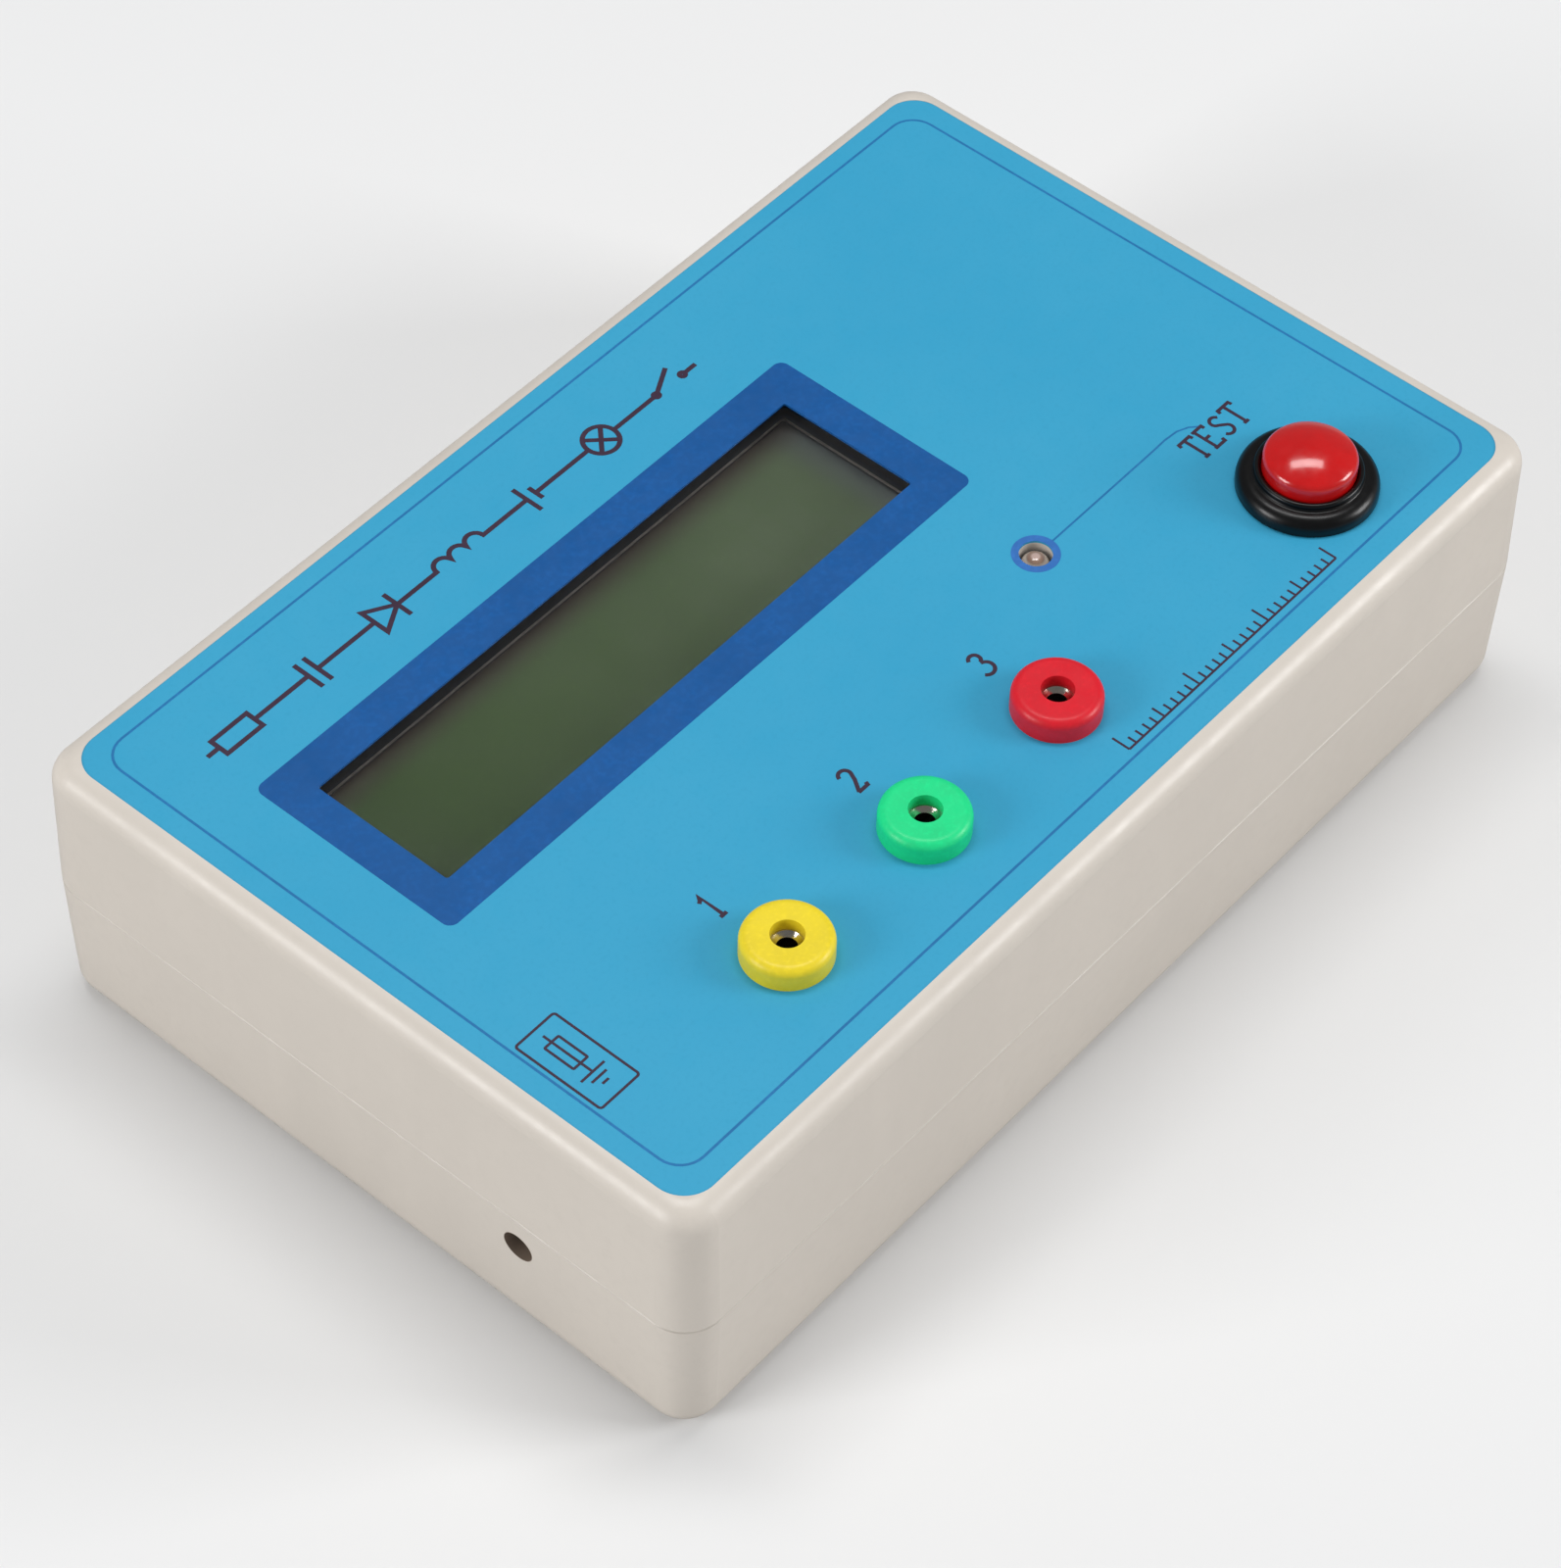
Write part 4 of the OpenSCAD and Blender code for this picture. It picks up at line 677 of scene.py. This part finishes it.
# Signs are drawn in units of their height, from their lower left corner
DIGITS = (
    [[(0.02, 0.8), (0.12, 0.86), (0.2, 1.0), (0.2, 0.0)], [(0.06, 0.0), (0.34, 0.0)]],
    [[*reversed(arc((0.22, 0.77), 0.21, -20, 170, 14)), (0.3, 0.44), (0.02, 0.03)],
     [(0.0, 0.03), (0.42, 0.03), (0.45, 0.14)]],
    [[*reversed(arc((0.2, 0.78), 0.2, -70, 160, 14))],
     [*reversed(arc((0.18, 0.29), 0.27, -150, 80, 16))]],
)
DIGIT_HEIGHT = 3.0
DIGIT_PEN = 0.4
# Where each digit's drawing starts, from the middle of its socket
DIGIT_PLACES = ((-1.1, 6.95), (-0.8, 6.95), (-1.1, 6.95))

LETTER_T = [[(0.3, 0.0), (0.3, 1.0)], [(0.0, 0.86), (0.02, 1.0), (0.58, 1.0), (0.6, 0.86)],
            [(0.18, 0.0), (0.42, 0.0)]]
LETTER_E = [[(0.12, 0.0), (0.12, 1.0)], [(0.02, 1.0), (0.52, 1.0), (0.52, 0.86)],
            [(0.12, 0.52), (0.38, 0.52)], [(0.02, 0.0), (0.53, 0.0), (0.55, 0.14)]]
LETTER_S = [[(0.5, 0.84), *arc((0.29, 0.77), 0.2, 30, 250, 12),
             *reversed(arc((0.3, 0.24), 0.22, -160, 60, 12))]]
LABEL_PLACE = (38.3, -16.8)
LABEL_HEIGHT = 2.9
LABEL_STEP = 2.05
LABEL_PEN = 0.36


def circuit_symbols():
    """Generic symbols in a cell two wide and one high: each starts and ends on the middle line."""
    resistor = [[(0.0, 0.5), (0.4, 0.5)], ([(0.4, 0.22), (1.6, 0.22), (1.6, 0.78), (0.4, 0.78)],),
                [(1.6, 0.5), (2.0, 0.5)]]
    capacitor = [[(0.0, 0.5), (0.84, 0.5)], [(0.84, 0.0), (0.84, 1.0)], [(1.16, 0.0), (1.16, 1.0)],
                 [(1.16, 0.5), (2.0, 0.5)]]
    diode = [[(0.0, 0.5), (0.55, 0.5)], ([(0.55, 0.05), (1.35, 0.5), (0.55, 0.95)],),
             [(1.35, 0.02), (1.35, 0.98)], [(1.35, 0.5), (2.0, 0.5)]]
    humps = [(0.0, 0.5), (0.16, 0.5)]
    for hump in range(3):
        humps += arc((0.44 + 0.56 * hump, 0.5), 0.28, 180, 0, 10)[1:]
    coil = [[*humps, (2.0, 0.5)]]
    cell = [[(0.0, 0.5), (0.84, 0.5)], [(0.84, 0.0), (0.84, 1.0)], [(1.16, 0.25), (1.16, 0.75)],
            [(1.16, 0.5), (2.0, 0.5)]]
    lamp = [[(0.0, 0.5), (0.52, 0.5)], (ring_path((1.0, 0.5), 0.48, 32),), [(0.66, 0.16), (1.34, 0.84)],
            [(0.66, 0.84), (1.34, 0.16)], [(1.48, 0.5), (2.0, 0.5)]]
    switch = [[(0.0, 0.5), (0.5, 0.5)], [(0.5, 0.5), (1.38, 0.98)], [(1.5, 0.5), (2.0, 0.5)],
              (ring_path((0.5, 0.5), 0.08, 12),), (ring_path((1.5, 0.5), 0.08, 12),)]
    return resistor, capacitor, diode, coil, cell, lamp, switch


SYMBOL_ROW = (-51.3, 26.2)
SYMBOL_HEIGHT = 3.8
SYMBOL_STEP = 9.9
SYMBOL_PEN = 0.5

# The scale's start and end, and its ticks' heights at each tenth, fifth and other place
TICK_ROW = (5.0, -34.0)
TICK_END = 36.6
TICKS = 31
TICK_PEN = 0.24
TICK_HEIGHTS = {10: 2.0, 5: 1.5, 1: 1.0}

# The corner mark's frame, its fuse with a lead through it, and the earth symbol's three bars
CORNER_FRAME = (-57.0, -25.0, -52.0, -15.0)
CORNER_ROUND = 0.3
CORNER_PEN = 0.26
FUSE_HALF = 0.9
FUSE_ENDS = (-20.4, -17.0)
FUSE_ROUND = 0.1
FUSE_LEAD = -16.0
EARTH_LEVEL = -21.8
EARTH_STEP = 0.75
EARTH_HALVES = (1.5, 0.95, 0.4)


def corner_mark():
    """Plain frame that holds a fuse over an earth symbol."""
    middle = (CORNER_FRAME[0] + CORNER_FRAME[2]) / 2
    low, high = FUSE_ENDS
    fuse = round_rect(middle - FUSE_HALF, low, middle + FUSE_HALF, high, FUSE_ROUND, 2)
    marks = [(round_rect(*CORNER_FRAME, CORNER_ROUND, 4), CORNER_PEN, True),
             (fuse, CORNER_PEN, True),
             ([(middle, FUSE_LEAD), (middle, EARTH_LEVEL)], CORNER_PEN, False)]
    for row, half in enumerate(EARTH_HALVES):
        level = EARTH_LEVEL - EARTH_STEP * row
        marks.append(([(middle - half, level), (middle + half, level)], CORNER_PEN, False))
    return marks


def print_film():
    """All the print: border, display frame, lamp ring and line, digits, label, symbols and ticks."""
    line_blue = ink_finish("ink_line_blue", srgb(34, 112, 168))
    dark = ink_finish("ink_dark", srgb(62, 44, 62))
    printed("border_line", [(round_rect(*BORDER, BORDER_ROUND), BORDER_PEN, True)], line_blue)
    print_display_frame(ink_finish("ink_blue", FRAME_BLUE))
    print_lamp_marks(line_blue)
    print_digits(dark)
    print_label(dark)
    print_symbols(dark)
    print_ticks(dark)
    printed("corner_mark", corner_mark(), dark)


def print_lamp_marks(line_blue):
    """Ring round the lamp and the line from it to the button's label."""
    low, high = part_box("status_lamp")
    lamp = ((low + high) / 2 / MM).to_2d()
    printed("lamp_ring", [(ring_path(lamp, LAMP_RING), LAMP_RING_PEN, True)],
            ink_finish("ink_ring", srgb(50, 108, 180)), OVERPRINT_RISE)
    x, y = LAMP_LINE_START
    line = [(lamp.x + x, lamp.y + y), *LAMP_LINE]
    printed("lamp_line", [(line, LAMP_LINE_PEN, False)], line_blue)


def print_digits(dark):
    """A digit behind each socket."""
    for index, (x, y) in enumerate(DIGIT_PLACES):
        low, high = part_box(f"socket_sleeve_{index + 1}")
        middle = (low + high) / 2 / MM
        strokes = placed(DIGITS[index], (middle.x + x, middle.y + y), DIGIT_HEIGHT, DIGIT_PEN)
        printed(f"socket_digit_{index + 1}", strokes, dark)


def print_label(dark):
    """The generic word beside the button."""
    label = []
    for index, letter in enumerate((LETTER_T, LETTER_E, LETTER_S, LETTER_T)):
        origin = (LABEL_PLACE[0] + index * LABEL_STEP, LABEL_PLACE[1])
        label += placed(letter, origin, LABEL_HEIGHT, LABEL_PEN)
    printed("button_label", label, dark, OVERPRINT_RISE)


def print_symbols(dark):
    """Row of circuit symbols, joined by a lead between each two."""
    start, base = SYMBOL_ROW
    level = base + SYMBOL_HEIGHT / 2
    row = []
    for index, symbol in enumerate(circuit_symbols()):
        left = start + index * SYMBOL_STEP
        row += placed(symbol, (left, base), SYMBOL_HEIGHT, SYMBOL_PEN)
        if index:
            before = left + 2 * SYMBOL_HEIGHT - SYMBOL_STEP
            row.append(([(before, level), (left, level)], SYMBOL_PEN, False))
    printed("symbol_row", row, dark)


def print_ticks(dark):
    """Plain scale along the front edge, with a longer tick at each fifth and tenth place."""
    start, base = TICK_ROW
    ticks = [([TICK_ROW, (TICK_END, base)], TICK_PEN, False)]
    for index in range(TICKS):
        x = start + (TICK_END - start) * index / (TICKS - 1)
        height = next(height for every, height in TICK_HEIGHTS.items() if index % every == 0)
        ticks.append(([(x, base), (x, base + height)], TICK_PEN, False))
    printed("tick_row", ticks, dark)


def print_display_frame(material):
    """Dark-blue field round the window, with the window left open."""
    low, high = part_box("window_pane")
    inner = round_rect(low.x / MM + PANE_MARGIN, low.y / MM + PANE_MARGIN,
                       high.x / MM - PANE_MARGIN, high.y / MM - PANE_MARGIN, WINDOW_ROUND)
    outer = round_rect(*DISPLAY_FRAME, DISPLAY_FRAME_ROUND)
    work = bmesh.new()
    loops = []
    for height in (FILM_TOP - INK_DEPTH, FILM_TOP + INK_RISE):
        for outline in (inner, outer):
            loops.append([work.verts.new((x * MM, y * MM, height * MM)) for x, y in outline])
    low_inner, low_outer, high_inner, high_outer = loops
    for first, second in ((low_inner, low_outer), (high_outer, high_inner),
                          (low_outer, high_outer), (high_inner, low_inner)):
        for index in range(len(first)):
            after = (index + 1) % len(first)
            work.faces.new((first[index], first[after], second[after], second[index]))
    new_piece("display_frame_print", finished("display_frame_print", work), material)


def make_film_edge(material):
    """Soft cut edge of the film, pressed out against the wall of its recess."""
    low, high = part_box("panel_film")
    reach = FILM_EDGE / 2
    outline = round_rect(low.x / MM - reach, low.y / MM - reach, high.x / MM + reach, high.y / MM + reach,
                         FILM_CORNER + reach, 24)
    work = bmesh.new()
    ribbon(work, outline, FILM_EDGE + INK_DEPTH, FILM_TOP - FILM_EDGE_DEPTH, FILM_TOP - INK_DEPTH, True)
    new_piece("film_edge", finished("film_edge", work), material)


LIP_WIDTH = 0.16
LIP_DEPTH = 0.1
LIP_RISE = 0.04
LIP_ROUND = 0.3


def make_bezel_lip():
    """Bare punched edge round the bezel's opening, as a thin bead."""
    low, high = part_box("lcd_bezel")
    middle = (low + high) / 2 / MM
    top = high.z / MM
    outline = round_rect(middle.x - VIEW_WIDTH / 2, middle.y - VIEW_DEPTH / 2,
                         middle.x + VIEW_WIDTH / 2, middle.y + VIEW_DEPTH / 2, LIP_ROUND, 4)
    work = bmesh.new()
    ribbon(work, outline, LIP_WIDTH, top - LIP_DEPTH, top + LIP_RISE, True)
    bare = metal_finish("bezel_bare_edge", srgb(176, 168, 164), (0.3, 0.45))
    new_piece("bezel_lip", finished("bezel_lip", work), bare)


# ---- Button ----

# The cap and its stem, with their gaps to the housing and the bridge
CAP_CROWN = 1.5
CAP_EDGE = 0.9
CAP_HEIGHT = 7.65
CAP_GAP = 0.1
EDGE_BREAK = 0.1
STEM_RADIUS = 2.05
STEM_TIP_RADIUS = 1.6
STEM_GAP = 0.05
STOP_GAP = 0.1
BRIDGE_GAP = 0.3
PRESS_TRAVEL = next(joint["range_m"][1] for joint in frame["joints"]
                    if joint["name"] == "button_press") / MM

# The housing, and how far the boxes that cut its contact slots reach past its floor
COLLAR_ROUND = 0.3
FOOT_ROUND = 0.25
FLANGE_HEIGHT = 1.9
FLANGE_ROUND = 1.3
BARREL_RADIUS = 6.0
BARREL_FLOOR = 1.5
CHAMBER_RADIUS = 4.9
CONTACT_PLACE = 3.7
CONTACT_SLOT = (0.7, 2.5)
SLOT_PAST = 1.0

# The spring: its wire's radius and its turns, with the steps round a turn and round the wire
SPRING_WIRE = 0.25
SPRING_TURNS = 7
SPRING_STEPS = 28
SPRING_SIDES = 10


def cap_profile(radius, top, stem_end, tip):
    """Domed cap with a round edge on its stepped stem, from the middle of the dome to the stem's tip."""
    dome = (radius ** 2 + CAP_CROWN ** 2) / (2 * CAP_CROWN)
    lean = math.asin((radius - CAP_EDGE) / (dome - CAP_EDGE))
    edge = (radius - CAP_EDGE, top - dome + (dome - CAP_EDGE) * math.cos(lean))
    turn = 90 - math.degrees(lean)
    bottom = top - CAP_HEIGHT
    return [(0, top), *arc((0, top - dome), dome, 90, turn, 24)[1:],
            *arc(edge, CAP_EDGE, turn, 0, 12)[1:],
            (radius, bottom + EDGE_BREAK), (radius - EDGE_BREAK, bottom), (STEM_RADIUS, bottom),
            (STEM_RADIUS, stem_end), (STEM_TIP_RADIUS, stem_end), (STEM_TIP_RADIUS, tip), (0, tip)]


def housing_profile(bore, flange, top, bottom, web_top, web_bottom):
    """Barrel, web, rounded collar and domed flange, from the floor up and round to the underside."""
    floor = bottom + BARREL_FLOOR
    step = FILM_TOP + FLANGE_HEIGHT
    foot = bore + 2 * COLLAR_ROUND + FOOT_ROUND
    return [(0, floor), (CHAMBER_RADIUS, floor), (CHAMBER_RADIUS, web_bottom),
            (STEM_RADIUS + STEM_GAP, web_bottom), (STEM_RADIUS + STEM_GAP, web_top), (bore, web_top),
            *arc((bore + COLLAR_ROUND, top - COLLAR_ROUND), COLLAR_ROUND, 180, 0, 16),
            *arc((foot, step + FOOT_ROUND), FOOT_ROUND, 180, 270, 6),
            *arc((flange - FLANGE_ROUND, step - FLANGE_ROUND), FLANGE_ROUND, 90, 0, 16),
            (flange, FILM_TOP + EDGE_BREAK), (flange - EDGE_BREAK, FILM_TOP), (BARREL_RADIUS, FILM_TOP),
            (BARREL_RADIUS, bottom), (0, bottom)]


def make_button(materials):
    """Housing and cap with their moulded edge radii, at the sizes of the CAD pieces."""
    low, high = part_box("button_cap")
    centre = (low + high) / 2
    cap_radius = (high.x - low.x) / 2 / MM
    bridge_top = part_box("button_bridge")[1].z / MM
    profile = cap_profile(cap_radius, high.z / MM, bridge_top, low.z / MM)
    cap = new_piece("button_cap_moulding", lathe("button_cap_moulding", profile, centre),
                    materials["button_red"], "plunger")
    keep_edges(cap)
    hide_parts("button_cap")
    web_top = high.z / MM - CAP_HEIGHT - PRESS_TRAVEL - STOP_GAP

    low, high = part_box("button_body")
    profile = housing_profile(cap_radius + CAP_GAP, (high.x - low.x) / 2 / MM, high.z / MM, low.z / MM,
                              web_top, bridge_top + BRIDGE_GAP)
    slots = []
    for side in (-1, 1):
        place = centre + Vector((side * CONTACT_PLACE * MM, 0, 0))
        slots.append(upright_box("slot", place, *CONTACT_SLOT,
                                 low.z / MM - SLOT_PAST, low.z / MM + BARREL_FLOOR + SLOT_PAST))
    mesh = combined([lathe("button_housing", profile, centre), *slots], "DIFFERENCE")
    housing = new_piece("button_housing", mesh, materials["button_black"], "root")
    keep_edges(housing)
    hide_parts("button_body")
    make_spring(materials["spring"])


def coil_height(turned, rise):
    """Height reached along the spring: its end turns lie close, and those between share the rest."""
    closed = 2 * SPRING_WIRE
    if turned < 1:
        return closed * turned
    if turned > SPRING_TURNS - 1:
        return rise - closed * (SPRING_TURNS - turned)
    return closed + (rise - 2 * closed) * (turned - 1) / (SPRING_TURNS - 2)


def make_spring(material):
    """Return spring of round wire, with its end turns lying close."""
    low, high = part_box("button_spring")
    centre = (low + high) / 2
    radius = (high.x - low.x) / 2 / MM - SPRING_WIRE
    rise = (high.z - low.z) / MM - 2 * SPRING_WIRE
    work = bmesh.new()
    rings = []
    for step in range(SPRING_TURNS * SPRING_STEPS + 1):
        turned = step / SPRING_STEPS
        out = Vector((math.cos(2 * math.pi * turned), math.sin(2 * math.pi * turned), 0))
        base = Vector((centre.x, centre.y, low.z + (SPRING_WIRE + coil_height(turned, rise)) * MM))
        rings.append([work.verts.new(base + (out * (radius + x) + Vector((0, 0, y))) * MM)
                      for x, y in ring_path((0, 0), SPRING_WIRE, SPRING_SIDES)])
    for here, there in zip(rings, rings[1:]):
        for side in range(SPRING_SIDES):
            after = (side + 1) % SPRING_SIDES
            work.faces.new((here[side], there[side], there[after], here[after]))
    work.faces.new(rings[0])
    work.faces.new(list(reversed(rings[-1])))
    mesh = finished("button_spring_coil", work)
    coil = new_piece("button_spring_coil", mesh, material, "root")
    keep_edges(coil, 50)
    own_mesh(coil)
    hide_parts("button_spring")


# ---- Studio ----

# In metres, with the floor's colours and the world's strengths as seen and as mirrored
FLOOR_HALF = 4.0
LIT_POINT = (0, 0, 0.02)
FLOOR_GREY = (0.78, 0.78, 0.78, 1)
FLOOR_MIRRORED = (0.34, 0.34, 0.34, 1)
WORLD_LIGHT = 0.42
WORLD_MIRRORED = 0.16


def softbox(name, place, width, depth, power):
    """Rectangular area light that faces the object."""
    data = bpy.data.lights.new(name, "AREA")
    data.shape = "RECTANGLE"
    data.size = width
    data.size_y = depth
    data.energy = power
    lamp = bpy.data.objects.new(name, data)
    lamp.location = place
    lamp.rotation_euler = (Vector(LIT_POINT) - Vector(place)).to_track_quat("-Z", "Y").to_euler()
    bpy.context.scene.collection.objects.link(lamp)


def make_studio():
    """Pale floor, even world light and soft boxes."""
    mesh = bpy.data.meshes.new("floor")
    corners = [(x * FLOOR_HALF, y * FLOOR_HALF, 0) for x, y in ((-1, -1), (1, -1), (1, 1), (-1, 1))]
    mesh.from_pydata(corners, [], [(0, 1, 2, 3)])
    floor = bpy.data.objects.new("floor", mesh)
    bpy.context.scene.collection.objects.link(floor)
    mesh.materials.append(floor_finish())
    bpy.context.scene.world = even_world()

    softbox("overhead", (0.19, 0.157, 1.17), 0.85, 0.25, 5.6)
    softbox("left_side", (-0.9, 0.35, 0.4), 0.4, 0.4, 4.8)
    softbox("right_side", (0.6, -0.75, 0.42), 0.4, 0.4, 5.2)
    bpy.context.scene.view_settings.view_transform = "Standard"


def floor_finish():
    """Pale matt floor, darker in what glossy pieces mirror of it."""
    made = Finish("floor_matt", FLOOR_GREY, 0.9, Specular_IOR_Level=0.1)
    made.stain(made.node("ShaderNodeLightPath").outputs["Is Glossy Ray"], FLOOR_MIRRORED, 0, 1)
    return made.material


def even_world():
    """Even white surroundings, dimmer for mirrored rays so that gloss stays deep."""
    world = bpy.data.worlds.new("world")
    world.use_nodes = True
    tree = world.node_tree
    background = tree.nodes["Background"]
    background.inputs["Color"].default_value = (0.98, 0.99, 1.0, 1)
    level = tree.nodes.new("ShaderNodeMapRange")
    level.inputs["To Min"].default_value = WORLD_LIGHT
    level.inputs["To Max"].default_value = WORLD_MIRRORED
    rays = tree.nodes.new("ShaderNodeLightPath")
    tree.links.new(rays.outputs["Is Glossy Ray"], level.inputs["Value"])
    tree.links.new(level.outputs["Result"], background.inputs["Strength"])
    return world


# ---- Assembly ----

make_camera()
slot_materials = finishes()
dress_frame(slot_materials)
make_button(slot_materials)
print_film()
make_film_edge(slot_materials["film"])
make_bezel_lip()
make_studio()
